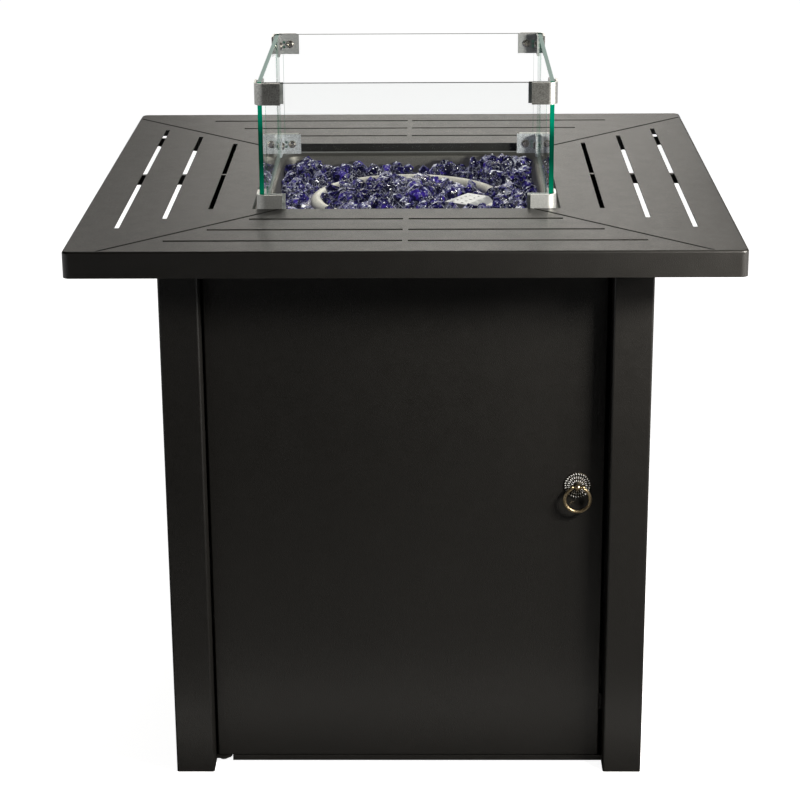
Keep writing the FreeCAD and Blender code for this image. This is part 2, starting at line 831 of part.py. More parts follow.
def heat_shield():
    """Folded tray hung between the rails to keep the pan's heat off the cylinder."""
    body = new_body("HeatShield")
    wall, floor, gauge = RAIL_OUT - D.post_gauge, D.shield_floor, D.pan_gauge
    top, depth = FLANGE_TOP - 5, 150
    profile = [(-wall, floor), (wall, floor), (wall, top), (wall - gauge, top),
               (wall - gauge, floor + gauge), (gauge - wall, floor + gauge), (gauge - wall, top),
               (-wall, top)]
    pad(body, polygon(sketch_on(body, "XZ", -depth), profile), 2 * depth)
    for y, way in ((-depth, "+"), (depth, "-")):
        lip = rectangle(sketch_on(body, "XZ", y), gauge - wall, wall - gauge, floor + gauge, floor + 10)
        pad(body, lip, gauge, way)
    holes = circle(sketch_on(body, "XY", floor + gauge), 0, 0, 30)
    circle(holes, D.pilot_out_x + 4, D.pilot_out_y, 18)
    for x in (-130, -90, 90, 130):
        rectangle(holes, x - 5, x + 5, 60, 120)
        rectangle(holes, x - 5, x + 5, -120, -60)
    pocket(body, holes, gauge + 1)
    node(body, "heat_shield")


def burner_shape(grow):
    """Ring, cross tube and hub, grown all over by a gap."""
    height = D.burner_height
    ring = torus((0, 0, height), "+z", D.burner_radius, D.burner_tube + grow)
    cross = rod((0, -D.burner_radius, height), "+y", 6.5 + grow, 2 * D.burner_radius)
    hub = rod((0, 0, height - 10.5 - grow), "+z", 15 + grow, 19 + 2 * grow)
    return ring, cross, hub


def burner_ring():
    """Ring burner with ports on its inner shoulder and a hub socket for the gas inlet."""
    socket = rod((0, 0, D.burner_height - 11), "+z", 10, 8.5)
    port = rod((D.burner_radius - 8, 0, D.burner_height + 3.5), "+x", 1.1, 4)
    ports = [copy_of(port, about_z(11.25 + 22.5 * k)) for k in range(16)]
    node(cut(fuse(*burner_shape(0)), socket, group(ports)), "burner_ring")


def burner_inlet():
    """Threaded nipple that carries gas up through the pan floor."""
    outer = rod((0, 0, 545), "+z", 10, D.burner_height - 2.5 - 545)
    node(cut(outer, rod((0, 0, 544), "+z", 7, 70)), "burner_inlet")


def inlet_nuts():
    """Locknuts above and below the pan floor."""
    nuts = []
    for start in (PAN_FLOOR, PAN_FLOOR - D.pan_gauge - 5):
        nuts.append(cut(hexagon((0, 0, start), "+z", 28, 5), rod((0, 0, start - 1), "+z", 10, 7)))
    node(group(nuts), "inlet_nuts")


def air_mixer():
    """Sleeve under the nipple where air joins the gas through two windows."""
    tube = cut(rod((0, 0, 515), "+z", 13, 36), rod((0, 0, 521), "+z", 10, 31),
               rod((0, 0, 514), "+z", 6, 8), box((-14, -5, 526), (14, 5, 542)))
    node(tube, "air_mixer")


def orifice_elbow():
    """Brass elbow with the gas orifice, in the foot of the mixer."""
    rise = rod((0, 0, 505), "+z", 6, 17)
    arm = rod((0, 0, 505), "+x", 6, 22)
    collar = hexagon((16, 0, 505), "+x", 15, 6)
    corner = doc.addObject("Part::Sphere", "corner")
    bind(corner, {"Radius": 6})
    place(corner, (0, 0, 505))
    node(cut(fuse(rise, arm, corner, collar), rod((0, 0, 515), "+z", 1, 8)), "orifice_elbow")


def pilot_placement():
    """The pilot shield's own axes, turned off the burner's."""
    turn = Rotation(Vector(0, 0, 1), D.pilot_turn.value)
    return Placement(point(D.pilot_out_x, D.pilot_out_y, 0), turn)


def pilot_shield():
    """Open-ended box over the pilot: a perforated top with one sloped margin, notched beside the ring."""
    body = new_body("PilotShield")
    long, wide, top, gauge = D.pilot_length / 2, D.pilot_width / 2, D.pilot_top, 0.8
    fold, margin = D.pilot_fold, D.pilot_top - D.pilot_drop
    outside = [(-wide, PAN_FLOOR), (wide, PAN_FLOOR), (wide, top), (fold, top), (-wide, margin)]
    pad(body, polygon(sketch_on(body, "YZ", -long), outside), D.pilot_length)
    soften(body, 2, lambda edge: level_at(top)(edge) and near(edge.BoundBox.YMin, edge.BoundBox.YMax))
    inside = [(gauge - wide, PAN_FLOOR + gauge), (wide - gauge, PAN_FLOOR + gauge), (wide - gauge, top - gauge),
              (fold, top - gauge), (gauge - wide, margin - gauge / 2)]
    pocket(body, polygon(sketch_on(body, "YZ", -long), inside), D.pilot_length, "+")
    holes = sketch_on(body, "XY", top)
    for step in range(-2, 3):
        for across in (-2, 10):
            circle(holes, 9 * step - 1, across, 1.8)
    pocket(body, holes, gauge + 1)
    seats = circle(sketch_on(body, "XY", PAN_FLOOR + gauge), -8, 0, 3.5)
    circle(seats, 10, 0, 3)
    pocket(body, seats, gauge + 1)
    body.Placement = pilot_placement()
    ring = burner_shape(D.clearance)[0]
    node(cut(body, ring), "pilot_shield")


def beside_pilot(distance):
    """A plan point on the pilot's long axis."""
    return pilot_placement().multVec(Vector(distance, 0, 0))


def tube_along(stops, radius, name):
    """A round tube along straight runs joined by tangent arcs."""
    stops = [point(*stop) for stop in stops]
    edges, start = [], stops[0]
    for before, corner, after in zip(stops, stops[1:], stops[2:]):
        back, ahead = before - corner, after - corner
        turn = math.pi - back.getAngle(ahead)
        reach = 0.45 * min(back.Length, ahead.Length)
        bend = reach / math.tan(turn / 2)
        entry = corner + Vector(back).normalize() * reach
        leave = corner + Vector(ahead).normalize() * reach
        inward = (Vector(back).normalize() + Vector(ahead).normalize()).normalize()
        centre = corner + inward * math.hypot(bend, reach)
        middle = centre - inward * bend
        edges.append(Part.LineSegment(start, entry).toShape())
        edges.append(Part.Arc(entry, middle, leave).toShape())
        print(f"{name}: bend radius {bend:.1f}")
        start = leave
    edges.append(Part.LineSegment(start, stops[-1]).toShape())
    path = Part.Wire(edges)
    ring = Part.Wire(Part.makeCircle(radius, stops[0], stops[1] - stops[0]))
    shape = path.makePipeShell([ring], True, False)
    full = math.pi * radius ** 2 * path.Length
    print(f"{name}: volume over section times length {shape.Volume / full:.3f}")
    tube = doc.addObject("Part::Feature", "tube")
    tube.Shape = shape
    return tube


def igniter_electrode():
    """Ceramic rod with a bare wire tip beside the ring."""
    spot = beside_pilot(-8)
    ceramic = rod((spot.x, spot.y, 560), "+z", 3.5, 40)
    tip = rod((spot.x, spot.y, 600), "+z", 1.2, 12)
    node(fuse(ceramic, tip), "igniter_electrode")


def ignition_lead():
    """Insulated wire from the push-button igniter up to the electrode."""
    spot = beside_pilot(-8)
    route = [(spot.x, spot.y, 560), (spot.x + 1, spot.y - 1, 532), (115, -40, 519), (160, -41, 532),
             (205, D.igniter_y, D.control_height - 7)]
    node(tube_along(route, 1.5, "ignition_lead"), "ignition_lead")


def thermocouple():
    """Flame probe with its copper lead down to the gas valve."""
    spot = beside_pilot(10)
    probe = rod((spot.x, spot.y, 556), "+z", 2.5, 50)
    collar = rod((spot.x, spot.y, 571), "+z", 4, 6)
    route = [(spot.x, spot.y, 557), (spot.x + 2, spot.y + 1, 527), (128, -6, 512), (168, 12, 522),
             (200, 20, 534)]
    node(fuse(probe, collar, tube_along(route, 1.5, "thermocouple")), "thermocouple")


def gas_line():
    """Tube from the valve outlet to the orifice elbow."""
    route = [(22, 0, 505), (88, 0, 505), (140, D.knob_y, 534), (200, D.knob_y, 534)]
    node(tube_along(route, 4.5, "gas_line"), "gas_line")


# Fire glass


def fire_glass_bed():
    """The settled glass that fills the pan round the burner and the pilot."""
    body = new_body("FireGlassBed")
    gap = D.clearance
    sections = []
    for height, shrink in ((PAN_FLOOR + gap, 8), (PAN_FLOOR + 9.5, 0), (D.bed_top, 0)):
        sections.append(rounded_square(sketch_on(body, "XY", height), pan_half_at(height) - gap - shrink,
                                       pan_corner_at(height) - gap - shrink / 2))
    loft(body, "Additive", sections)
    nut = rod((0, 0, PAN_FLOOR), "+z", 17, 6)
    nipple = rod((0, 0, PAN_FLOOR), "+z", 10 + gap, 40)
    tunnel = box((-D.pilot_length / 2 - gap, -D.pilot_width / 2 - gap, PAN_FLOOR),
                 (D.pilot_length / 2 + gap, D.pilot_width / 2 + gap, D.pilot_top))
    tunnel.Placement = pilot_placement().multiply(tunnel.Placement)
    for axis in "xyz":
        tunnel.setExpression(f"Placement.Base.{axis}", None)
    node(cut(body, *burner_shape(gap), nut, nipple, tunnel), "fire_glass_bed")


def near_burner(x, y, reach):
    """Whether a chunk of a given reach would touch the ring, cross tube, hub or pilot."""
    radius = math.hypot(x, y)
    on_ring = abs(radius - D.burner_radius.value) < D.burner_tube.value + reach
    on_cross = abs(x) < 7 + reach and radius < D.burner_radius.value
    local = pilot_placement().inverse().multVec(Vector(x, y, 0))
    on_pilot_length = abs(local.x) <= D.pilot_length.value / 2 + reach
    on_pilot = on_pilot_length and abs(local.y) <= D.pilot_width.value / 2 + reach
    return on_ring or on_cross or radius < 16 + reach or on_pilot


def glass_chunk(x, y, draw):
    """One broken piece: a skewed block that narrows upwards, flat on the bed."""
    chunk = doc.addObject("Part::Wedge", "chunk")
    half, tall = draw.uniform(5, 6.5), draw.uniform(8, 14)
    heap = 9 if x > 60 and y > 60 else 0
    shrink, lean = draw.uniform(0.35, 0.7), draw.uniform(-2, 2)
    chunk.Xmin, chunk.Xmax, chunk.Zmin, chunk.Zmax = -half, half, -half * 0.8, half * 0.8
    chunk.X2min, chunk.X2max = -half * shrink + lean, half * shrink + lean
    chunk.Z2min, chunk.Z2max = -half * shrink * 0.7, half * shrink * 0.9
    chunk.Ymin, chunk.Ymax = 0, tall + heap
    spin = Rotation(Vector(0, 0, 1), draw.uniform(0, 360))
    place(chunk, (x, y, D.bed_top), spin.multiply(Rotation(Vector(1, 0, 0), 90)))
    return chunk


def fire_glass_chunks():
    """Loose chunks that lie on the bed, clear of each other and of the burner."""
    draw = random.Random(12)
    pitch, reach, chunks = 19.5, 8.5, []
    for row in range(-7, 8):
        for column in range(-7, 8):
            x = column * pitch + draw.uniform(-1, 1)
            y = row * pitch + draw.uniform(-1, 1)
            if not near_burner(x, y, reach):
                chunks.append(glass_chunk(x, y, draw))
    print("glass chunks", len(chunks))
    node(group(chunks), "fire_glass_chunks")


# Controls


def control_plate():
    """Plate outside the right panel with the knob's and the igniter's holes."""
    body = new_body("ControlPlate")
    low, high = D.control_height - 40, D.control_height + 40
    pad(body, rectangle(sketch_on(body, "YZ", PANEL_FACE), -80, 70, low, high), 1.5)
    soften(body, 6, lambda edge: near(edge.BoundBox.XLength, 1.5))
    holes = circle(sketch_on(body, "YZ", CONTROL_FACE), D.knob_y, D.control_height, 6)
    circle(holes, D.igniter_y, D.control_height, 11.1)
    pocket(body, holes, 3)
    return body


def gas_valve():
    """Valve casting with neck, hose inlet below, gas outlet and a bore for the stem."""
    height, y = D.control_height, D.knob_y
    casting = box((200, y - 15, height - 26), (244, y + 15, height + 26))
    neck = rod((244, y, height), "+x", 13, PANEL_FACE - 244)
    inlet = rod((222, y, height - 42), "+z", 8, 16)
    flats = hexagon((222, y, height - 32), "+z", 19, 6)
    chamber = rod((217, y, height), "+x", 9, 33)
    stem_way = rod((249, y, height), "+x", 4.1, 10)
    node(cut(fuse(casting, neck, inlet, flats), chamber, stem_way), "gas_valve")


def valve_plunger():
    """Sliding collar that the pressed stem pushes to open the safety magnet."""
    start = (242.5, D.knob_y, D.control_height)
    node(cut(rod(start, "+x", 8.6, 4), rod((242, D.knob_y, D.control_height), "+x", 4.08, 5)),
         "valve_plunger")


def valve_stem():
    node(rod((228, D.knob_y, D.control_height), "+x", 4, 48), "valve_stem")


def control_knob():
    """Turned knob with a skirt, twelve finger flutes and a raised pointer."""
    body = new_body("ControlKnob")
    profile = polygon(sketch_on(body, "XZ", 0), [
        (0, 0), (22, 0), (22, 2.5), (18, 5), (16.5, 18.5), (15, 20), (0, 20)])
    revolve(body, profile)
    flute = pocket(body, circle(sketch_on(body, "XY", 21), 19, 0, 3), 15)
    polar(body, [flute], 12)
    pocket(body, circle(sketch_on(body, "XY", 0), 0, 0, 4), 12, "+")
    pad(body, rectangle(sketch_on(body, "XY", 20), -12, -2, -1.2, 1.2), 1.2)
    body.Placement = Placement(point(264, D.knob_y, D.control_height), TURN["+x"])
    node(body, "control_knob")


def igniter_housing():
    """Barrel of the spark igniter: bezel outside, nut inside and a blind bore."""
    y, z = D.igniter_y, D.control_height
    bezel = rod((CONTROL_FACE, y, z), "+x", 14, 3)
    barrel = rod((205, y, z), "+x", 11, CONTROL_FACE - 205)
    nut = hexagon((PANEL_FACE - 5, y, z), "+x", 27, 5)
    bore = rod((238, y, z), "+x", 9, 30)
    node(cut(fuse(bezel, barrel, nut), bore), "igniter_housing")


def igniter_button():
    """Push button with a softened rim."""
    button = rod((246, D.igniter_y, D.control_height), "+x", 8.6, 20)
    rounded = doc.addObject("Part::Fillet", "rim")
    rounded.Base = button
    doc.recompute()
    rims = [k for k, edge in enumerate(button.Shape.Edges, start=1)
            if near(edge.BoundBox.XMin, 266) and near(edge.BoundBox.XMax, 266)]
    rounded.Edges = [(k, 1.5, 1.5) for k in rims]
    node(rounded, "igniter_button")


# Wind guard


def guard_pane(label, quarter):
    """One of four like panes, drilled near its corners for the clamps."""
    body = new_body("GuardPane")
    reach = D.guard_half - D.pane_gap
    low, high = D.guard_foot + 1, D.guard_top - 0.3
    pane = rectangle(sketch_on(body, "XZ", -GLASS_OUT), -reach, reach, low, high)
    pad(body, pane, D.glass_gauge)
    soften(body, 0.6, lambda edge: near(edge.BoundBox.ZMin, high) and near(edge.BoundBox.ZMax, high))
    holes = sketch_on(body, "XZ", -GLASS_OUT)
    for side in (-1, 1):
        for height in CLAMP_SCREW_Z:
            circle(holes, side * (GLASS_IN - D.screw_inset), height, 3.7)
    pocket(body, holes, D.glass_gauge + 1, "+")
    body.Placement = about_z(90 * quarter)
    node(body, label)


def corner_copies(master):
    return [copy_of(master, about_z(90 * k)) for k in range(4)]


def guard_clamp(foot, centre):
    """Outer clamp: a wrap round the corner with two tapped bosses that reach through the glass."""
    body = new_body("GuardClamp")
    out, thin = D.guard_half, D.clamp_gauge
    tip, inner = out - D.clamp_arm, out - thin
    section = [(tip, out), (out, out), (out, tip), (inner, tip), (inner, inner), (tip, inner)]
    pad(body, polygon(sketch_on(body, "XY", foot), section), D.clamp_height)
    soften(body, D.clamp_bend, upright_at([(out, out)]))
    soften(body, D.clamp_bend - thin, upright_at([(inner, inner)]))
    along = GLASS_IN - D.screw_inset
    for plane in ("XZ", "YZ"):
        pad(body, circle(sketch_on(body, plane, inner), along, centre, 3.3), inner - GLASS_IN, "-")
        pocket(body, circle(sketch_on(body, plane, GLASS_IN), along, centre, 2), inner - GLASS_IN - 1, "+")
    return body


def inner_plate(foot, centre):
    """Inner clamp plate: an angle on the two panes, with screw holes and two small windows."""
    body = new_body("InnerPlate")
    tip = GLASS_IN - 24
    section = [(tip, GLASS_IN), (GLASS_IN, GLASS_IN), (GLASS_IN, tip), (PLATE_IN, tip),
               (PLATE_IN, PLATE_IN), (tip, PLATE_IN)]
    pad(body, polygon(sketch_on(body, "XY", foot), section), D.clamp_height)
    along = GLASS_IN - D.screw_inset
    for plane in ("XZ", "YZ"):
        holes = circle(sketch_on(body, plane, PLATE_IN), along, centre, 2.1)
        rectangle(holes, GLASS_IN - 7, GLASS_IN - 4.5, centre + 1, centre + 4)
        rectangle(holes, GLASS_IN - 7, GLASS_IN - 4.5, centre - 5, centre - 1.5)
        pocket(body, holes, PLATE_GAUGE, "+")
    return body


def guard_screw(centre, swap):
    """Pan-head screw from inside the guard into a clamp boss."""
    along = GLASS_IN - D.screw_inset
    seat, way = ((along, PLATE_IN, centre), "+y") if swap else ((PLATE_IN, along, centre), "+x")
    return pan_head(seat, way, 4.2, 2.8, 2, 6)


def guard_pad(foot, centre, swap):
    """Thin gasket between the glass and the outer clamp."""
    low_along, high_along = D.guard_half - D.clamp_arm + 1, D.guard_half - D.pane_gap
    inner, outer = GLASS_OUT, GLASS_OUT + D.pad_gauge
    along = GLASS_IN - D.screw_inset
    if swap:
        sheet_of = box((low_along, inner, foot + 1.5), (high_along, outer, foot + D.clamp_height - 1))
        hole = rod((along, inner - 1, centre), "+y", 3.7, 4)
    else:
        sheet_of = box((inner, low_along, foot + 1.5), (outer, high_along, foot + D.clamp_height - 1))
        hole = rod((inner - 1, along, centre), "+x", 3.7, 4)
    return cut(sheet_of, hole)


def wind_guard():
    """Four panes and, at every corner, clamps, plates, gaskets and screws at foot and top."""
    for label, quarter in (("front", 0), ("right", 1), ("back", 2), ("left", 3)):
        guard_pane(f"guard_pane_{label}", quarter)
    plates, screws, pads = [], [], []
    feet = {"bottom": D.guard_foot, "top": D.guard_top - D.clamp_height}
    for (name, foot), centre in zip(feet.items(), CLAMP_SCREW_Z):
        node(group(corner_copies(guard_clamp(foot, centre))), f"guard_clamps_{name}")
        plates += corner_copies(inner_plate(foot, centre))
        for swap in (True, False):
            screws += corner_copies(guard_screw(centre, swap))
            pads += corner_copies(guard_pad(foot, centre, swap))
    node(group(plates), "guard_inner_plates")
    node(group(screws), "guard_screws")
    node(group(pads), "guard_pads")


# The whole table


def build_top():
    table_top()
    stiffener("stiffener_front", DOOR_FACE + 0.5, 3)
    for name, quarter in (("right", 0), ("back", 1), ("left", 2)):
        stiffener(f"stiffener_{name}", PANEL_FACE, quarter)
    for name, side in (("left", -1), ("right", 1)):
        gusset(f"gusset_front_{name}", side, -D.base_half)
        gusset(f"gusset_rear_{name}", side, LEG_EDGE)


def build_cabinet():
    drilled = []
    for end_name, end in (("front", -1), ("rear", 1)):
        for side_name, side in (("left", -1), ("right", 1)):
            drilled.append(leg(f"leg_{end_name}_{side_name}", side, end))
    low_vents, high_vents = vents(40, 5, 66), vents(605, 5, 66)
    control_window = (-65, 55, D.control_height - 24, D.control_height + 28)
    drilled.append(("side_panel_left", folded_panel("SidePanel", "YZ", -1, LEG_EDGE,
                                                    low_vents + high_vents)))
    drilled.append(("side_panel_right", folded_panel("SidePanel", "YZ", 1, LEG_EDGE,
                                                     low_vents + high_vents + [control_window])))
    drilled.append(("back_panel", folded_panel("BackPanel", "XZ", 1, LEG_INNER,
                                               low_vents + high_vents)))
    drilled.append(("control_plate", control_plate()))
    holes = screw_holes()
    for label, body in drilled:
        node(cut(body, holes), label)
    panel_screws()
    header_rail()
    base_shelf()
    tank_locators()
    for name, side in (("left", -1), ("right", 1)):
        pan_rail(f"pan_rail_{name}", side)


def build_door():
    door_panel()
    hinge_tabs()
    hinge_pins()
    strike_plate()
    magnet_catch()
    handle_rosette()
    handle_post()
    ring_pull()


def build_burner():
    burner_pan()
    heat_shield()
    burner_ring()
    burner_inlet()
    inlet_nuts()
    air_mixer()
    orifice_elbow()
    pilot_shield()
    igniter_electrode()
    ignition_lead()
    thermocouple()
    gas_line()
    fire_glass_bed()
    fire_glass_chunks()


def build_controls():
    gas_valve()
    valve_plunger()
    valve_stem()
    control_knob()
    igniter_housing()
    igniter_button()


def check_and_export():
    """Stop on any failed object, then write one file for each node."""
    doc.recompute()
    failed = [f"{item.Name} {item.getStatusString()}" for item in doc.Objects
              if "Invalid" in item.State or "Error" in item.State]
    for label, thing in NODES.items():
        shape = thing.Shape
        if shape.isNull() or not shape.isValid() or not shape.Solids:
            failed.append(f"{label}: shape is null, empty or not valid")
    if failed:
        raise RuntimeError("; ".join(failed))
    for label, thing in NODES.items():
        thing.Shape.exportStep(f"parts/{label}.step")
    print(len(NODES), "nodes")


build_top()
build_cabinet()
build_door()
build_burner()
build_controls()
wind_guard()
check_and_export()
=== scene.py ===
# %% [markdown]
# A gas fire pit table
#
# This lesson dresses an engineering model of a square fire pit table. The model already holds every
# sheet, screw and tube at its real size, in metres, with +Z up and the door facing -Y. What it lacks
# is finish: powder coat, brushed steel, clear panes, and the heap of blue fire glass in the pan.

# %% Load the engineering model
import json
import math

import bmesh
import bpy
from mathutils import Matrix, Vector

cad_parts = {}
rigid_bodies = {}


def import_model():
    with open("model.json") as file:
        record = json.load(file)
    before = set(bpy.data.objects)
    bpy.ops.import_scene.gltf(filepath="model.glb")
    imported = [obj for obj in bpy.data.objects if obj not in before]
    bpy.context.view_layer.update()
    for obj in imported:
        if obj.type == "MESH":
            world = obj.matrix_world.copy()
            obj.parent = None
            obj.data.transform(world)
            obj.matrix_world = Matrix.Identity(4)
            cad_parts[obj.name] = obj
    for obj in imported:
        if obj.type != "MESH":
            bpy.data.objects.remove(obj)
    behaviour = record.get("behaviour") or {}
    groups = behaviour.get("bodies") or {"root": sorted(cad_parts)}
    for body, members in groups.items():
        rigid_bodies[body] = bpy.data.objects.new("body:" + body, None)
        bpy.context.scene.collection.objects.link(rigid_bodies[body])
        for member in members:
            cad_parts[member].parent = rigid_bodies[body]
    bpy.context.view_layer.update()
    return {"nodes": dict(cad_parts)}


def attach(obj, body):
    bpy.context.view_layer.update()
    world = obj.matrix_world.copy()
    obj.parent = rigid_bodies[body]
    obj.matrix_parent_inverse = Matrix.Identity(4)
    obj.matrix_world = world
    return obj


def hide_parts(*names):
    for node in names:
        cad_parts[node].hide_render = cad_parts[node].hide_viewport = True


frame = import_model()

nodes = frame["nodes"]
MM = 0.001

# %% [markdown]
# Shader and geometry trees are both graphs of nodes. Two small classes keep the code readable: Number
# wraps a value socket, so that sums are written as sums, and Graph adds any node with its settings
# first and then the values or links of its sockets.

# %% A value socket that understands arithmetic


class Number:
    """A value socket. Arithmetic on it adds Math nodes to its graph."""

    def __init__(self, graph, socket):
        self.graph = graph
        self.socket = socket

    def __add__(self, other):
        return self.graph.maths("ADD", self, other)

    def __sub__(self, other):
        return self.graph.maths("SUBTRACT", self, other)

    def __rsub__(self, other):
        return self.graph.maths("SUBTRACT", other, self)

    def __mul__(self, other):
        return self.graph.maths("MULTIPLY", self, other)

    def __truediv__(self, other):
        return self.graph.maths("DIVIDE", self, other)

    def __pow__(self, other):
        return self.graph.maths("POWER", self, other)

    def __gt__(self, other):
        return self.graph.maths("GREATER_THAN", self, other)

    def __lt__(self, other):
        return self.graph.maths("LESS_THAN", self, other)

    def __abs__(self):
        return self.graph.maths("ABSOLUTE", self)

    def clamp(self):
        return self.graph.maths("MINIMUM", self.graph.maths("MAXIMUM", self, 0.0), 1.0)

    __radd__ = __add__
    __rmul__ = __mul__


# %% A graph that adds nodes


class Graph:
    """A node tree. add() takes a node's type, its settings and its sockets' values or links."""

    def __init__(self, tree):
        self.tree = tree

    def add(self, kind, settings=None, sockets=None):
        node = self.tree.nodes.new(kind)
        for name, value in (settings or {}).items():
            if name == "stops":
                self.fill_ramp(node.color_ramp, value)
            else:
                setattr(node, name, value)
        for key, value in (sockets or {}).items():
            self.feed(node.inputs[key], value)
        return node

    def feed(self, socket, value):
        if isinstance(value, Number):
            value = value.socket
        if isinstance(value, bpy.types.Node):
            value = value.outputs[0]
        if isinstance(value, bpy.types.NodeSocket):
            self.tree.links.new(value, socket)
        else:
            socket.default_value = value

    def fill_ramp(self, ramp, stops):
        while len(ramp.elements) < len(stops):
            ramp.elements.new(1.0)
        for element, (position, colour) in zip(ramp.elements, stops):
            element.position = position
            element.color = (*colour, 1.0)

    def maths(self, operation, *values):
        node = self.add("ShaderNodeMath", {"operation": operation}, dict(enumerate(values)))
        return Number(self, node.outputs[0])

    def vector_maths(self, operation, *values):
        return self.add("ShaderNodeVectorMath", {"operation": operation}, dict(enumerate(values)))

    def parts_of(self, vector):
        node = self.add("ShaderNodeSeparateXYZ", {}, {0: vector})
        return [Number(self, output) for output in node.outputs]


# %% A material as a graph


class Paint(Graph):
    """A material under construction."""

    def __init__(self, name):
        self.material = bpy.data.materials.new(name)
        self.material.use_nodes = True
        super().__init__(self.material.node_tree)
        self.tree.nodes.clear()
        self.place = self.add("ShaderNodeTexCoord").outputs["Object"]

    def noise(self, scale, detail=2.0, stretch=(1, 1, 1), roughness=0.5):
        spot = self.vector_maths("MULTIPLY", self.place, stretch)
        node = self.add("ShaderNodeTexNoise", {}, {"Vector": spot, "Scale": scale, "Detail": detail,
                                                   "Roughness": roughness})
        return Number(self, node.outputs[0])

    def blend(self, share, first, second):
        """A colour between two others."""
        node = self.add("ShaderNodeMix", {"data_type": "RGBA"}, {0: share, 6: first, 7: second})
        return node.outputs[2]

    def ramp(self, value, stops):
        return self.add("ShaderNodeValToRGB", {"stops": stops}, {0: value}).outputs[0]

    def relief(self, height, depth):
        """Bumps of a depth in metres where the height goes from 0 to 1."""
        return self.add("ShaderNodeBump", {}, {"Height": height, "Distance": depth, "Strength": 1.0})

    def principled(self, sockets):
        return self.add("ShaderNodeBsdfPrincipled", {}, sockets)

    def finish(self, shader):
        self.add("ShaderNodeOutputMaterial", {}, {"Surface": shader})
        return self.material


def rgba(red, green, blue):
    return (red, green, blue, 1.0)


# %% [markdown]
# The table is covered in a dark bronze-black powder coat. It is cured plastic on steel: a fine orange
# peel about a millimetre across, a soft sheen, and faint cloudiness where the coat is thicker. Noise
# at three scales gives the three effects. On the top, four pressed seams run from the opening's
# corners to the corners of the table, and in them a painted shade with dust makes the coat nearly
# black and matt.

# %% The seams of the top
SEAM_START, SEAM_REACH = 0.171, 0.1811
FRONT_SEAM, REAR_SEAM = (0.1401, 0.179), (0.1491, 0.178)
SLANT = 0.71
TOP_FACE, FRONT_END, SIDE_END = 0.6425, 0.3515, 0.3525


def seam_gap(along, across, seam):
    """Distance from a seam, given as its first offset and its rise over the reach."""
    first, rise = seam
    return abs(across - (along - SEAM_START) * (rise / SEAM_REACH) - first) * SLANT + (along < SEAM_START)


def in_seams(paint):
    """1 in the four grooves between the top's panels, fading to 0 beside them."""
    x, y, z = paint.parts_of(paint.place)
    gap = paint.maths("MINIMUM", seam_gap(y * -1.0, abs(x), FRONT_SEAM), seam_gap(abs(x), y, REAR_SEAM))
    on_top = (z > TOP_FACE) * (y > -FRONT_END) * (abs(x) < SIDE_END)
    return ((0.0023 - gap) * 700.0).clamp() * on_top


# %% Powder coat


def powder_coat(name, dark, light, roughness=0.42, seams=False):
    """Powder coat; seams adds a painted shade with dust in the grooves between the top's panels."""
    paint = Paint(name)
    grain = paint.noise(1100, 3)
    cloud = paint.noise(7, 3)
    dust = paint.noise(60, 4, roughness=0.7)
    share = (cloud * 0.7 + dust * 0.5 - 0.25).clamp()
    speck = (paint.noise(2600, 1) - 0.62) * 3.0
    colour = paint.blend(share, rgba(*dark), rgba(*light))
    colour = paint.blend(speck.clamp() * 0.5, colour, rgba(*[3.0 * c for c in light]))
    matt = roughness + (grain - 0.5) * 0.18 + (dust - 0.5) * 0.12
    if seams:
        # Painted shade with dust in the seams: the colour goes nearly black and the coat matt.
        seam_shade_and_dust = in_seams(paint)
        colour = paint.blend(seam_shade_and_dust, colour, rgba(0.0010, 0.0009, 0.0008))
        matt = matt + seam_shade_and_dust * 0.6
    return paint.finish(paint.principled({
        "Base Color": colour, "Roughness": matt, "Normal": paint.relief(grain, 0.00022)}))


THICK_COAT, THIN_COAT = (0.0105, 0.0098, 0.0088), (0.0160, 0.0150, 0.0136)
coat = powder_coat("powder_coat", THICK_COAT, THIN_COAT)
top_coat = powder_coat("top_powder_coat", THICK_COAT, THIN_COAT, seams=True)
inner_coat = powder_coat("inner_powder_coat", (0.0090, 0.0085, 0.0078), (0.0135, 0.0128, 0.0118), 0.5)
print("powder coats:", coat.name, top_coat.name, inner_coat.name)

# %% [markdown]
# The clamps, the pan and the burner are stainless steel. Rolling leaves long scratches in one
# direction, so the noise is squeezed across the grain and stretched along it. A painted sheen goes
# through the emission colour and stands for a bright room outside the picture shining in the steel:
# a painted highlight at the outer bends of the foot clamps, painted light on the upward faces of the
# burner and the pilot's plate, and a painted shade that darkens the front and upper plates.

# %% Stainless steel
CLAMP_BEND = 0.156
UPPER_PLATES = 0.7


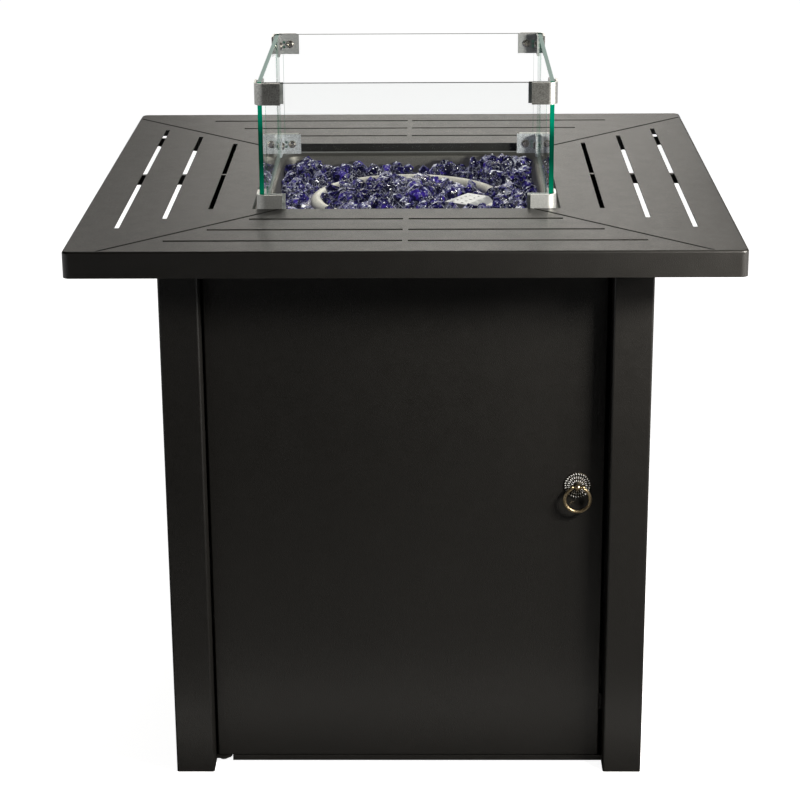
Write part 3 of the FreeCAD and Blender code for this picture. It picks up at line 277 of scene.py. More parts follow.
def stainless(name, tone, along, roughness, smudge=0.10, metal=1.0, lift=(0.0, 0.0), upward_sheen=False,
              corner=0.0, grit=0.3, painted_shade_tone=None):
    """Brushed steel. lift is a painted sheen of a bright room on it, through the emission colour, at the
    table's left and right side; corner adds painted highlight towards the two sides; a flag keeps the
    painted sheen only on faces that look up; and a second tone, when given, is a painted darker shade
    on its front and upper parts, where the painted sheen is weaker too."""
    paint = Paint(name)
    stretch = [1.0, 1.0, 1.0]
    stretch["xyz".index(along)] = 0.02
    line = paint.noise(2500, 2, stretch)
    smear = paint.noise(22, 4)
    colour = paint.blend(line, rgba(*[0.82 * c for c in tone]), rgba(*tone))
    x, y, z = paint.parts_of(paint.place)
    # Painted shade: the front and upper parts get a darker tone, and below a weaker painted sheen.
    if painted_shade_tone:
        away = paint.maths("MAXIMUM", y < 0.0, z > UPPER_PLATES)
        colour = paint.blend(away, colour, paint.blend(line, rgba(*[0.82 * c for c in painted_shade_tone]), rgba(*painted_shade_tone)))
    colour = paint.blend((smear - 0.45).clamp(), colour, rgba(*[0.55 * c for c in tone]))
    spots = ((paint.noise(650, 2, roughness=0.6) - 0.5) * 4.0 + 0.5).clamp()
    colour = paint.blend(spots * grit, colour, rgba(*[0.45 * c for c in tone]))
    # Painted sheen: it grows from the left to the right where the two values of lift differ.
    sheen = (x * 4.0 + 0.5).clamp() * (lift[1] - lift[0]) + lift[0]
    if painted_shade_tone:
        sheen = sheen * (1.0 - away * 0.6)
    # Painted highlight on the outer bends of the clamps.
    if corner:
        sheen = sheen + ((abs(x) - CLAMP_BEND) * 150.0).clamp() * corner
    # Painted light from above: the painted sheen stays only on faces that look up.
    if upward_sheen:
        normal = paint.parts_of(paint.add("ShaderNodeNewGeometry").outputs["Normal"])
        sheen = sheen * (normal[2] * 1.3 - 0.2).clamp()
    return paint.finish(paint.principled({
        "Base Color": colour, "Metallic": metal, "Emission Strength": 1.0,
        "Emission Color": paint.blend(sheen, rgba(0, 0, 0), colour),
        "Roughness": roughness + (line - 0.5) * 0.16 + (smear - 0.5) * smudge,
        "Normal": paint.relief(line, 0.00004)}))


# Every steel below takes a painted sheen through the emission colour, as large as its lift.
clamp_steel = stainless("clamp_steel", (0.50, 0.50, 0.475), "x", 0.35, 0.26, lift=(0.04, 0.04), grit=0.8)
# The foot clamps: a painted sheen that grows towards the right and a painted highlight at their outer
# bends.
foot_clamp_steel = stainless("foot_clamp_steel", (0.56, 0.56, 0.53), "x", 0.40, 0.16, lift=(0.15, 0.60),
                             corner=0.3)
# The plates: a painted sheen, and a painted darker shade on the front and upper ones.
plate_steel = stainless("plate_steel", (0.78, 0.82, 0.85), "x", 0.55, metal=0.7, lift=(0.12, 0.12),
                        grit=0.95, painted_shade_tone=(0.52, 0.53, 0.515))
pan_steel = stainless("pan_steel", (0.20, 0.195, 0.178), "x", 0.52, lift=(0.12, 0.12))
# The burner and the pilot's plate: a strong painted sheen, lit only on their upward faces.
burner_steel = stainless("burner_steel", (0.90, 0.87, 0.77), "z", 0.5, metal=0.3, lift=(0.42, 0.42),
                         upward_sheen=True)
shield_steel = stainless("shield_steel", (0.93, 0.93, 0.91), "x", 0.5, metal=0.3, lift=(0.42, 0.42),
                         upward_sheen=True)
zinc = stainless("zinc_plate", (0.62, 0.63, 0.62), "y", 0.42, 0.2)
screw_steel = stainless("screw_steel", (0.62, 0.59, 0.53), "y", 0.24, lift=(0.05, 0.05))
dark_steel = stainless("dark_steel", (0.10, 0.10, 0.095), "z", 0.42)
print("metals:", [m.name for m in bpy.data.materials if "steel" in m.name])

# %% [markdown]
# Other metals: aged brass for the pull, plain brass for the gas fittings, copper for the
# thermocouple and cast aluminium for the valve. Age settles in the hollows as a dark film.

# %% Brass, copper and cast metal


def old_metal(name, bright, film, cover, roughness, scale=420):
    """Metal with a film of age on part of it; cover is the share that the film takes."""
    paint = Paint(name)
    stain = paint.noise(scale, 4, roughness=0.65)
    share = ((stain - (1.0 - cover)) * 4.0 + 0.5).clamp()
    colour = paint.blend(share, rgba(*bright), rgba(*film))
    return paint.finish(paint.principled({
        "Base Color": colour, "Metallic": 1.0, "Roughness": roughness + share * 0.2,
        "Normal": paint.relief(stain, 0.00006)}))


pull_brass = old_metal("aged_brass", (0.52, 0.41, 0.25), (0.34, 0.26, 0.15), 0.40, 0.30, 900)
rosette_brass = old_metal("antique_brass", (0.075, 0.068, 0.052), (0.035, 0.031, 0.024), 0.5, 0.40)
bead_brass = old_metal("worn_brass", (0.80, 0.74, 0.60), (0.35, 0.31, 0.24), 0.40, 0.26, 700)
fitting_brass = old_metal("fitting_brass", (0.80, 0.60, 0.28), (0.45, 0.31, 0.14), 0.35, 0.26, 200)
copper = old_metal("copper", (0.83, 0.42, 0.26), (0.40, 0.19, 0.12), 0.4, 0.30, 200)
cast = old_metal("cast_aluminium", (0.62, 0.62, 0.61), (0.42, 0.42, 0.41), 0.4, 0.45, 900)
print("castings and fittings:", pull_brass.name, fitting_brass.name, copper.name, cast.name)

# %% [markdown]
# Moulded parts: the black knob and the igniter, the white ceramic and the silicone of the lead and
# the gaskets. A very fine grain keeps plastic from looking like paint.

# %% Plastic, ceramic and silicone


def moulded(name, tone, roughness, grain=1500, depth=0.00005, speckle=0.15):
    paint = Paint(name)
    skin = paint.noise(grain, 3)
    patch = paint.noise(35, 3)
    colour = paint.blend(patch, rgba(*[(1 - speckle) * c for c in tone]), rgba(*tone))
    return paint.finish(paint.principled({
        "Base Color": colour, "Roughness": roughness + (skin - 0.5) * 0.15 + (patch - 0.5) * 0.1,
        "Normal": paint.relief(skin, depth)}))


black_plastic = moulded("black_plastic", (0.018, 0.018, 0.018), 0.42)
gloss_plastic = moulded("gloss_plastic", (0.012, 0.012, 0.012), 0.16, depth=0.00001)
ceramic = moulded("ceramic", (0.80, 0.78, 0.72), 0.30, 600, 0.00002, 0.08)
silicone = moulded("silicone", (0.70, 0.73, 0.72), 0.50)
lead_cover = moulded("lead_cover", (0.32, 0.045, 0.03), 0.55, 900)
print("mouldings:", black_plastic.name, gloss_plastic.name, ceramic.name, silicone.name)

# %% [markdown]
# Window glass looks clear through its face and green through its edge, because light crosses only
# 5 mm of it in one case and a third of a metre in the other. The panes are straight-sided, so the
# direction of a face tells which is which. The clear face is see-through with a mirror over it, and
# the mirror grows at grazing angles by Schlick's rule. Only the side where light enters is a mirror,
# because a pane with two mirrors turns grey. The upright edges are green with painted light and
# shade, bright at the top and nearly black in the middle, and they glow through the emission colour;
# the top edges carry a painted reflection of the pale or dark room behind them.

# %% Clear glass with green edges
GUARD_FOOT, GUARD_TOP = 0.633, 0.785


def edge_green_and_painted_light(paint):
    """Green along an upright edge, with painted light and shade that change by height."""
    height = (paint.parts_of(paint.place)[2] - GUARD_FOOT) / (GUARD_TOP - GUARD_FOOT)
    wave = paint.noise(45, 3, (1, 1, 0.25))
    return paint.ramp(height + (wave - 0.5) * 0.25, [
        (0.0, (0.0, 0.12, 0.060)), (0.22, (0.0, 0.080, 0.042)), (0.42, (0.0, 0.025, 0.014)),
        (0.60, (0.0, 0.035, 0.020)), (0.72, (0.0, 0.12, 0.07)), (1.0, (0.0, 0.17, 0.092))])


def pane_glass(name, thin, clear_tone, shine, rim):
    """Glass whose faces along the thin axis are clear, whose edges are green with painted light and shade
    and whose top carries a painted reflection of the room.
    """
    paint = Paint(name)
    geometry = paint.add("ShaderNodeNewGeometry")
    normal = paint.parts_of(geometry.outputs["True Normal"])
    entering = 1.0 - Number(paint, geometry.outputs["Backfacing"])
    clear = abs(normal["xyz".index(thin)]) > 0.7
    level = abs(normal[2]) > 0.7
    facing = Number(paint, paint.add("ShaderNodeLayerWeight", {}, {"Blend": 0.5}).outputs["Facing"])
    mirror = ((facing ** 5.0) * 0.96 + shine) * entering
    see_through = paint.add("ShaderNodeBsdfTransparent", {}, {"Color": rgba(*clear_tone)})
    gloss = paint.principled({"Base Color": rgba(0.97, 1.0, 0.985), "Metallic": 1.0, "Roughness": 0.01})
    face = paint.add("ShaderNodeMixShader", {}, {0: mirror, 1: see_through, 2: gloss})
    # The top faces take the rim colour, a painted reflection of the room behind them.
    tone = paint.blend(level, edge_green_and_painted_light(paint), rgba(*rim))
    # The edges glow through the emission colour with their green and its painted light and shade.
    edge = paint.principled({"Base Color": tone, "Roughness": 0.6, "Emission Color": tone,
                             "Emission Strength": 0.8, "Specular IOR Level": 0.0})
    pane = paint.add("ShaderNodeMixShader", {}, {0: clear, 1: edge, 2: face})
    shadow = paint.add("ShaderNodeLightPath").outputs["Is Shadow Ray"]
    unshaded = paint.add("ShaderNodeBsdfTransparent", {}, {"Color": rgba(0.97, 0.985, 0.98)})
    return paint.finish(paint.add("ShaderNodeMixShader", {}, {0: shadow, 1: pane, 2: unshaded}))


# The rim colours are painted reflections: dark on the front pane, pale grey on the back one and pale
# green-grey on the sides.
glass_front = pane_glass("pane_glass_front", "y", (0.968, 0.972, 0.970), 0.036, (0.020, 0.022, 0.021))
glass_back = pane_glass("pane_glass_back", "y", (0.998, 0.999, 0.998), 0.012, (0.20, 0.205, 0.195))
glass_side = pane_glass("pane_glass_side", "x", (0.996, 0.998, 0.997), 0.036, (0.30, 0.38, 0.345))
print("glass:", glass_front.name, glass_back.name, glass_side.name)

# %% [markdown]
# Each node of the engineering model keeps its own mesh and gets the finish of its real counterpart.

# %% Give every node its finish
FINISHES = {
    top_coat: "table_top",
    coat: "leg_front_left leg_front_right leg_rear_left leg_rear_right side_panel_left "
          "side_panel_right back_panel header_rail base_shelf door_panel hinge_tabs magnet_catch "
          "control_plate",
    inner_coat: "stiffener_front stiffener_back stiffener_left stiffener_right gusset_front_left "
                "gusset_front_right gusset_rear_left gusset_rear_right tank_locators pan_rail_left "
                "pan_rail_right",
    clamp_steel: "guard_clamps_top",
    foot_clamp_steel: "guard_clamps_bottom",
    plate_steel: "guard_inner_plates strike_plate",
    pan_steel: "burner_pan",
    burner_steel: "burner_ring",
    shield_steel: "pilot_shield",
    zinc: "heat_shield inlet_nuts air_mixer burner_inlet hinge_pins valve_stem",
    screw_steel: "guard_screws",
    dark_steel: "panel_screws",
    pull_brass: "handle_post ring_pull",
    rosette_brass: "handle_rosette",
    fitting_brass: "orifice_elbow valve_plunger",
    copper: "thermocouple",
    cast: "gas_valve gas_line",
    ceramic: "igniter_electrode",
    black_plastic: "control_knob igniter_housing",
    gloss_plastic: "igniter_button",
    silicone: "guard_pads",
    lead_cover: "ignition_lead",
    glass_front: "guard_pane_front",
    glass_back: "guard_pane_back",
    glass_side: "guard_pane_left guard_pane_right",
}


def dress(node, material):
    node.data.materials.clear()
    node.data.materials.append(material)


for material, names in FINISHES.items():
    for name in names.split():
        dress(nodes[name], material)

print("finished nodes:", sum(len(names.split()) for names in FINISHES.values()))

# %% [markdown]
# A geometry tree is a recipe with named inputs. This class builds one, runs it on an empty mesh and
# returns the plain mesh that it makes, because the finished model may hold no live modifiers.

# %% A geometry recipe


class Recipe(Graph):
    """A Geometry Nodes tree with named inputs that ends as a plain mesh."""

    KINDS = {float: "NodeSocketFloat", int: "NodeSocketInt", bpy.types.Object: "NodeSocketObject",
             bpy.types.Material: "NodeSocketMaterial"}

    def __init__(self, name, inputs):
        tree = bpy.data.node_groups.new(name, "GeometryNodeTree")
        super().__init__(tree)
        tree.is_modifier = True
        tree.interface.new_socket("Geometry", in_out="INPUT", socket_type="NodeSocketGeometry")
        self.ids, self.values = {}, inputs
        for label, value in inputs.items():
            kind = next(k for t, k in self.KINDS.items() if isinstance(value, t))
            self.ids[label] = tree.interface.new_socket(label, in_out="INPUT", socket_type=kind).identifier
        tree.interface.new_socket("Geometry", in_out="OUTPUT", socket_type="NodeSocketGeometry")
        self.start = self.add("NodeGroupInput")

    def given(self, label):
        socket = self.start.outputs[label]
        return Number(self, socket) if isinstance(self.values[label], (int, float)) else socket

    def close(self, geometry, material):
        """Turn copies into real faces, set the material and end the tree."""
        real = self.add("GeometryNodeRealizeInstances", {}, {0: geometry})
        done = self.add("GeometryNodeSetMaterial", {}, {"Geometry": real, "Material": material})
        self.add("NodeGroupOutput", {}, {0: done})

    def make(self, name, seed_mesh=None, **changes):
        """Run the recipe and return an object that holds only the mesh."""
        carrier = bpy.data.objects.new(name + "_carrier", seed_mesh or bpy.data.meshes.new(name + "_seed"))
        bpy.context.scene.collection.objects.link(carrier)
        modifier = carrier.modifiers.new("recipe", "NODES")
        modifier.node_group = self.tree
        for label, value in {**self.values, **changes}.items():
            modifier[self.ids[label]] = value
        evaluated = carrier.evaluated_get(bpy.context.evaluated_depsgraph_get())
        mesh = bpy.data.meshes.new_from_object(evaluated)
        bpy.data.objects.remove(carrier)
        piece = bpy.data.objects.new(name, mesh)
        bpy.context.scene.collection.objects.link(piece)
        return piece


# %% [markdown]
# Fire glass is a slab of cobalt glass broken into lumps of 10 to 20 mm: flat or hollowed break faces
# with sharp edges. Most are nearly black inside, and frosted cracks show as pale veils. A painted
# violet-blue glow stands for light passing through a few, facets that face up get painted light,
# painted glints add small highlights, and the whole colour glows through the emission colour. Colour
# depends on the lump, so the recipe stores a random tint on each one and the material reads it. Two
# lumps are white and two are azure, and they are found by place.

# %% Fire glass material
WHITE_LUMPS = ((-0.118, -0.056, 0.622), (0.105, -0.022, 0.622))
AZURE_LUMPS = ((-0.0755, 0.088, 0.622), (0.071, 0.084, 0.622))


def cells(paint, scale):
    """Distance in a field of broken cells."""
    node = paint.add("ShaderNodeTexVoronoi", {}, {"Vector": paint.place, "Scale": scale})
    return Number(paint, node.outputs["Distance"])


def near_spots(paint, spots, reach):
    """1 close to any of the places, 0 a reach away from them."""
    share = None
    for spot in spots:
        gap = Number(paint, paint.vector_maths("DISTANCE", paint.place, spot).outputs["Value"])
        close = ((1.0 - gap / reach) * 3.0).clamp()
        share = close if share is None else paint.maths("MAXIMUM", share, close)
    return share


def fire_glass():
    """Broken cobalt glass. Each lump reads the noise at a place of its own, given by its tint."""
    paint = Paint("fire_glass")
    white = near_spots(paint, WHITE_LUMPS, 0.0065)
    azure = near_spots(paint, AZURE_LUMPS, 0.0055)
    tint = Number(paint, paint.add("ShaderNodeAttribute", {"attribute_name": "tint"}).outputs["Fac"])
    own = paint.add("ShaderNodeCombineXYZ", {}, {0: tint * 3.0, 1: tint * 7.0, 2: tint * 5.0})
    paint.place = paint.vector_maths("ADD", paint.place, own.outputs[0]).outputs[0]
    flaw = paint.noise(170, 3, roughness=0.62)
    normal = paint.parts_of(paint.add("ShaderNodeNewGeometry").outputs["True Normal"])
    # Painted light on the facets: those facing up, towards the back and to the left come out lighter, up to
    # a white painted highlight at the ramp's end.
    painted_facet_light = normal[2] * 0.46 + normal[1] * 0.22 - normal[0] * 0.20
    shade = (flaw * 2.6 + painted_facet_light * 1.1 + tint * 0.42 - 1.50).clamp()
    body = paint.ramp(shade, [(0.0, (0.003, 0.003, 0.013)), (0.20, (0.006, 0.005, 0.036)),
                              (0.36, (0.014, 0.010, 0.082)), (0.50, (0.040, 0.034, 0.125)),
                              (0.64, (0.105, 0.108, 0.195)), (0.77, (0.30, 0.31, 0.38)),
                              (0.90, (0.85, 0.87, 0.90))])
    veil = ((paint.noise(60, 3, roughness=0.7) - 0.44) * 6.0).clamp()
    for scale, level, thin in ((120, 0.5, 20.0), (230, 0.47, 24.0)):
        ridge = (1.0 - abs(paint.noise(scale, 1) - level) * thin).clamp()
        body = paint.blend(ridge * veil * 0.75, body, rgba(0.36, 0.37, 0.42))
    # A painted violet-blue glow stands for light passing through some lumps.
    glow = ((paint.noise(95, 2) + tint * 0.10 - 0.64) * 8.0).clamp()
    body = paint.blend(glow * 0.8, body, rgba(0.036, 0.018, 0.23))
    # Painted glints: small white highlights.
    glint = ((paint.noise(330, 1) - 0.68) * 16.0).clamp()
    body = paint.blend(glint, body, rgba(0.85, 0.86, 0.88))
    body = paint.blend(azure, body, rgba(0.05, 0.20, 0.48))
    body = paint.blend(white, body, rgba(0.82, 0.83, 0.84))
    chips = cells(paint, 240) * 0.6 + flaw * 0.7
    # The whole colour also glows through the emission colour, a painted light.
    return paint.finish(paint.principled({
        "Base Color": body, "Roughness": 0.07 + flaw * 0.14, "IOR": 1.52, "Transmission Weight": 0.2,
        "Emission Color": body, "Emission Strength": 0.75, "Normal": paint.relief(chips, 0.0012)}))


glass_lump = fire_glass()
dress(nodes["fire_glass_bed"], glass_lump)
print("fire glass:", glass_lump.name)

# %% [markdown]
# The heap: points are dealt out over the pan with a least distance between them, those on the ring
# and on the pilot's plate are swept off, and a lump of one of five shapes goes on each. A height
# rule lifts the heap over the hub and into the rear corners, as someone poured it, and lowers it
# beside the ring, which would else be hidden behind it.

# %% Lumps of glass
PUSH = 0.34


def lump_shapes(recipe, seed):
    """Five broken shapes: a rough ball whose corners are pushed about."""
    shapes = []
    for k in range(5):
        ball = recipe.add("GeometryNodeMeshIcoSphere", {}, {"Radius": 1.0, "Subdivisions": 2})
        push = recipe.add("FunctionNodeRandomValue", {"data_type": "FLOAT_VECTOR"},
                          {0: (-PUSH,) * 3, 1: (PUSH,) * 3, "Seed": seed + float(k)})
        broken = recipe.add("GeometryNodeSetPosition", {}, {"Geometry": ball, "Offset": push})
        hull = recipe.add("GeometryNodeConvexHull", {}, {0: broken})
        flat = recipe.add("GeometryNodeSetShadeSmooth", {}, {0: hull, "Shade Smooth": False})
        shapes.append(recipe.add("GeometryNodeGeometryToInstance", {}, {0: flat}))
    joined = recipe.add("GeometryNodeJoinGeometry")
    for shape in reversed(shapes):
        recipe.tree.links.new(shape.outputs[0], joined.inputs[0])
    return joined


# %% Where the heap lies
RING_RADIUS, RING_MIDDLE, RING_MARGIN = 0.110, (-0.006, 0.004), 0.0134
PILOT_PLACE, PILOT_TURN = (0.072, -0.027), math.radians(57)
PILOT_HALF_LENGTH, PILOT_HALF_WIDTH = 0.032, 0.026


def distance(recipe, x, y, middle):
    """Distance in plan from a place."""
    dx, dy = x - middle[0], y - middle[1]
    return recipe.maths("POWER", dx * dx + dy * dy, 0.5)


def mound(recipe, gap, reach):
    """1 where the gap is 0, falling to 0 a reach away."""
    return recipe.maths("MAXIMUM", 1.0 - gap / reach, 0.0)


def heap_height(recipe, x, y):
    """Rise of the heap over its level, in metres."""
    radius = distance(recipe, x, y, (0.0, 0.0))
    rear_right = mound(recipe, distance(recipe, x, y, (0.118, 0.100)), 0.062)
    rear_left = mound(recipe, distance(recipe, x, y, (-0.125, 0.115)), 0.05)
    beside_pilot = mound(recipe, distance(recipe, x, y, (0.100, -0.020)), 0.035)
    hub = mound(recipe, radius, 0.055)
    inside_ring = mound(recipe, abs(radius - 0.090), 0.018)
    before_ring = mound(recipe, abs(radius - 0.131), 0.018) * (x < -0.02) * (y < 0.03)
    return (rear_right * 0.022 + rear_left * 0.006 + hub * 0.011 + beside_pilot * 0.010
            - inside_ring * 0.006 - before_ring * 0.006)


def swept_clear(recipe, x, y):
    """1 where lumps would hide the ring or lie on the pilot's plate. The ring's front and right stay
    covered."""
    band = distance(recipe, x, y, RING_MIDDLE)
    covered = recipe.maths("MAXIMUM", (y + 0.068) < 0.0, (y * -0.5 + x) > 0.098)
    on_ring = (abs(band - RING_RADIUS) < RING_MARGIN) * (1.0 - covered)
    dx, dy = x - PILOT_PLACE[0], y - PILOT_PLACE[1]
    along = dx * math.cos(PILOT_TURN) + dy * math.sin(PILOT_TURN)
    across = dy * math.cos(PILOT_TURN) - dx * math.sin(PILOT_TURN)
    on_plate = (abs(along) < PILOT_HALF_LENGTH) * (abs(across) < PILOT_HALF_WIDTH)
    return recipe.maths("MAXIMUM", on_ring, on_plate)


# %% The heap recipe
heap = Recipe("fire_glass_heap", {"Half Width": 0.146, "Level": 0.6145, "Spacing": 0.0130,
                                  "Lump": 0.0094, "Seed": 7, "Finish": glass_lump})
half, level, lump = heap.given("Half Width"), heap.given("Level"), heap.given("Lump")
layers = heap.add("GeometryNodeJoinGeometry")
for k, lift in enumerate((-0.003, 0.0025)):
    sheet = heap.add("GeometryNodeMeshGrid", {}, {"Size X": half * 2.0, "Size Y": half * 2.0})
    dots = heap.add("GeometryNodeDistributePointsOnFaces", {"distribute_method": "POISSON"},
                    {"Mesh": sheet, "Distance Min": heap.given("Spacing"), "Density Max": 20000.0,
                     "Seed": heap.given("Seed") + float(k)})
    x, y = heap.parts_of(heap.add("GeometryNodeInputPosition"))[:2]
    kept = heap.add("GeometryNodeDeleteGeometry", {"domain": "POINT"},
                    {"Geometry": dots, "Selection": swept_clear(heap, x, y)})
    wobble = Number(heap, heap.add("FunctionNodeRandomValue", {"data_type": "FLOAT"},
                                   {2: -0.0025, 3: 0.0025, "Seed": 40 + k}).outputs[1])
    rise = heap.add("ShaderNodeCombineXYZ", {}, {2: level + heap_height(heap, x, y) + wobble + lift})
    lifted = heap.add("GeometryNodeSetPosition", {}, {"Geometry": kept, "Offset": rise})
    heap.tree.links.new(lifted.outputs[0], layers.inputs[0])

spin = heap.add("FunctionNodeRandomValue", {"data_type": "FLOAT_VECTOR"},
                {0: (0, 0, 0), 1: (6.28, 6.28, 6.28), "Seed": 3})
stretch = heap.add("FunctionNodeRandomValue", {"data_type": "FLOAT_VECTOR"},
                   {0: (0.60, 0.60, 0.5), 1: (1.45, 1.20, 1.0), "Seed": 4})
scale = heap.vector_maths("SCALE", stretch.outputs[0])
heap.feed(scale.inputs["Scale"], lump)
lumps = heap.add("GeometryNodeInstanceOnPoints", {},
                 {"Points": layers, "Instance": lump_shapes(heap, heap.given("Seed")),
                  "Pick Instance": True, "Rotation": spin.outputs[0], "Scale": scale.outputs[0]})
tint = heap.add("FunctionNodeRandomValue", {"data_type": "FLOAT"}, {2: 0.0, 3: 1.0, "Seed": 5})
tinted = heap.add("GeometryNodeStoreNamedAttribute", {"data_type": "FLOAT", "domain": "INSTANCE"},
                  {"Geometry": lumps, "Name": "tint", "Value": tint.outputs[1]})
heap.close(tinted, heap.given("Finish"))
glass_heap = heap.make("glass_heap")
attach(glass_heap, "cabinet")
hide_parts("fire_glass_chunks")
print("fire glass faces:", len(glass_heap.data.polygons))

# %% [markdown]
# The screws are pan heads with a cross recess. One head is modelled and a recipe sets a copy on each
# seat: the seats are the corners of a tiny mesh whose stored arrow says which way each head faces.

# %% One pan head


def ring_of_points(mesh, count, radius, height):
    step = 2 * math.pi / count
    return [mesh.verts.new((radius * math.cos(k * step), radius * math.sin(k * step), height))
            for k in range(count)]


def wall_between(mesh, lower, upper):
    count = len(lower)
    for k in range(count):
        mesh.faces.new((lower[k], lower[(k + 1) % count], upper[(k + 1) % count], upper[k]))


def pan_head(radius, height, recess, shank, depth):
    """A screw with a domed head on z = 0, a cross recess and a plain shank below, as a mesh."""
    mesh = bmesh.new()
    loops = [ring_of_points(mesh, 24, shank, -depth), ring_of_points(mesh, 24, shank, 0.0)]
    loops += [ring_of_points(mesh, 24, radius * r, height * h)
              for r, h in ((1.0, 0.0), (1.0, 0.35), (0.93, 0.68), (0.78, 0.9), (0.62, 1.0))]
    for lower, upper in zip(loops, loops[1:]):
        wall_between(mesh, lower, upper)
    arm, slim = radius * 0.5, radius * 0.13
    cross = [(arm, -slim), (arm, slim), (slim, slim), (slim, arm), (-slim, arm), (-slim, slim),
             (-arm, slim), (-arm, -slim), (-slim, -slim), (-slim, -arm), (slim, -arm), (slim, -slim)]
    top = [mesh.verts.new((x, y, height)) for x, y in cross]
    floor = [mesh.verts.new((x * 0.7, y * 0.7, height - recess)) for x, y in cross]
    wall_between(mesh, top, floor)
    mesh.faces.new(floor)
    mesh.faces.new(list(reversed(loops[0])))
    edges = [mesh.edges.get((rim[k], rim[(k + 1) % len(rim)]))
             for rim in (top, loops[-1]) for k in range(len(rim))]
    bmesh.ops.triangle_fill(mesh, use_beauty=True, edges=edges)
    bmesh.ops.recalc_face_normals(mesh, faces=mesh.faces)
    result = bpy.data.meshes.new("pan_head")
    mesh.to_mesh(result)
    mesh.free()
    return bpy.data.objects.new("pan_head", result)


# %% A recipe that sets a copy on every seat
guard_head = pan_head(4.7 * MM, 2.8 * MM, 1.3 * MM, 2.0 * MM, 6.0 * MM)
bpy.context.scene.collection.objects.link(guard_head)
seating = Recipe("copies_on_seats", {"Piece": guard_head, "Seed": 11, "Finish": screw_steel})
shape = seating.add("GeometryNodeObjectInfo", {}, {"Object": seating.given("Piece")})
arrow = seating.add("GeometryNodeInputNamedAttribute", {"data_type": "FLOAT_VECTOR"}, {"Name": "arrow"})
turned = seating.add("FunctionNodeAlignRotationToVector", {"axis": "Z"}, {"Vector": arrow.outputs[0]})
random_turn = seating.add("FunctionNodeRandomValue", {"data_type": "FLOAT"},
                          {2: 0.0, 3: 6.28, "Seed": seating.given("Seed")})
driven = seating.add("FunctionNodeAxisAngleToRotation", {},
                     {"Axis": (0, 0, 1), "Angle": random_turn.outputs[1]})
both = seating.add("FunctionNodeRotateRotation", {"rotation_space": "LOCAL"},
                   {"Rotation": turned, "Rotate By": driven})
dots = seating.add("GeometryNodeMeshToPoints", {}, {0: seating.start.outputs["Geometry"]})
copies = seating.add("GeometryNodeInstanceOnPoints", {},
                     {"Points": dots, "Instance": shape.outputs["Geometry"], "Rotation": both})
seating.close(copies, seating.given("Finish"))


def seat_mesh(name, seats):
    """A mesh of loose corners, each with an arrow; seats are (place, arrow) in millimetres."""
    mesh = bpy.data.meshes.new(name)
    mesh.from_pydata([Vector(place) * MM for place, arrow in seats], [], [])
    arrows = mesh.attributes.new("arrow", "FLOAT_VECTOR", "POINT")
    for k, (place, arrow) in enumerate(seats):
        arrows.data[k].vector = arrow
    return mesh


# %% Screws of the wind guard


def quarter_turns(place, arrow):
    """A seat and its three copies, a quarter turn apart about the table's axis."""
    seats = []
    for k in range(4):
        spin = Matrix.Rotation(math.radians(90 * k), 3, "Z")
        seats.append((spin @ Vector(place), spin @ Vector(arrow)))
    return seats


guard_seats = []
for height in (647.3, 772.0):
    guard_seats += quarter_turns((145.0, 156.8, height), (0, -1, 0))
    guard_seats += quarter_turns((156.8, 145.0, height), (-1, 0, 0))
guard_heads = seating.make("guard_screw_heads", seat_mesh("guard_seats", guard_seats))
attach(guard_heads, "wind_guard")
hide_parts("guard_screws")
print("guard screws:", len(guard_seats), "faces:", len(guard_heads.data.polygons))

# %% Screws of the panels
panel_head = pan_head(4.5 * MM, 2.8 * MM, 1.4 * MM, 2.5 * MM, 7.0 * MM)
bpy.context.scene.collection.objects.link(panel_head)
panel_seats = []
for height in (90, 560):
    for side in (-1, 1):
        for end in (-1, 1):
            panel_seats.append(((side * 248, end * 210.8, height), (0, -end, 0)))
        panel_seats.append(((side * 223.3, 248, height), (-side, 0, 0)))
for y in (-73, 63):
    for z in (519, 585):
        panel_seats.append(((257.5, y, z), (1, 0, 0)))
panel_heads = seating.make("panel_screw_heads", seat_mesh("panel_seats", panel_seats),
                           Piece=panel_head, Finish=dark_steel)
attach(panel_heads, "cabinet")
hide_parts("panel_screws")
for used in (guard_head, panel_head):
    bpy.data.objects.remove(used)
print("panel screws:", len(panel_seats), "faces:", len(panel_heads.data.polygons))

# %% [markdown]
# The pull's backplate is a small casting: a rope round its rim, a ring of fine petals, and a domed
# middle. The plain disc is a profile turned about an axis, and one recipe deals petals and rope
# strands round it, like a clock's hours.

# %% A recipe that deals copies round a circle
ROSETTE = Vector((190.4, -243.0, 344.8)) * MM


def lathe(name, profile, steps=64):
    """Turn a profile of (radius, height) in millimetres about Z."""
    mesh = bmesh.new()
    loops = [ring_of_points(mesh, steps, r * MM, h * MM) for r, h in profile]
    for lower, upper in zip(loops, loops[1:]):
        wall_between(mesh, lower, upper)
    mesh.faces.new(list(reversed(loops[0])))
    mesh.faces.new(loops[-1])
    bmesh.ops.recalc_face_normals(mesh, faces=mesh.faces)
    result = bpy.data.meshes.new(name)
    mesh.to_mesh(result)
    mesh.free()
    return bpy.data.objects.new(name, result)


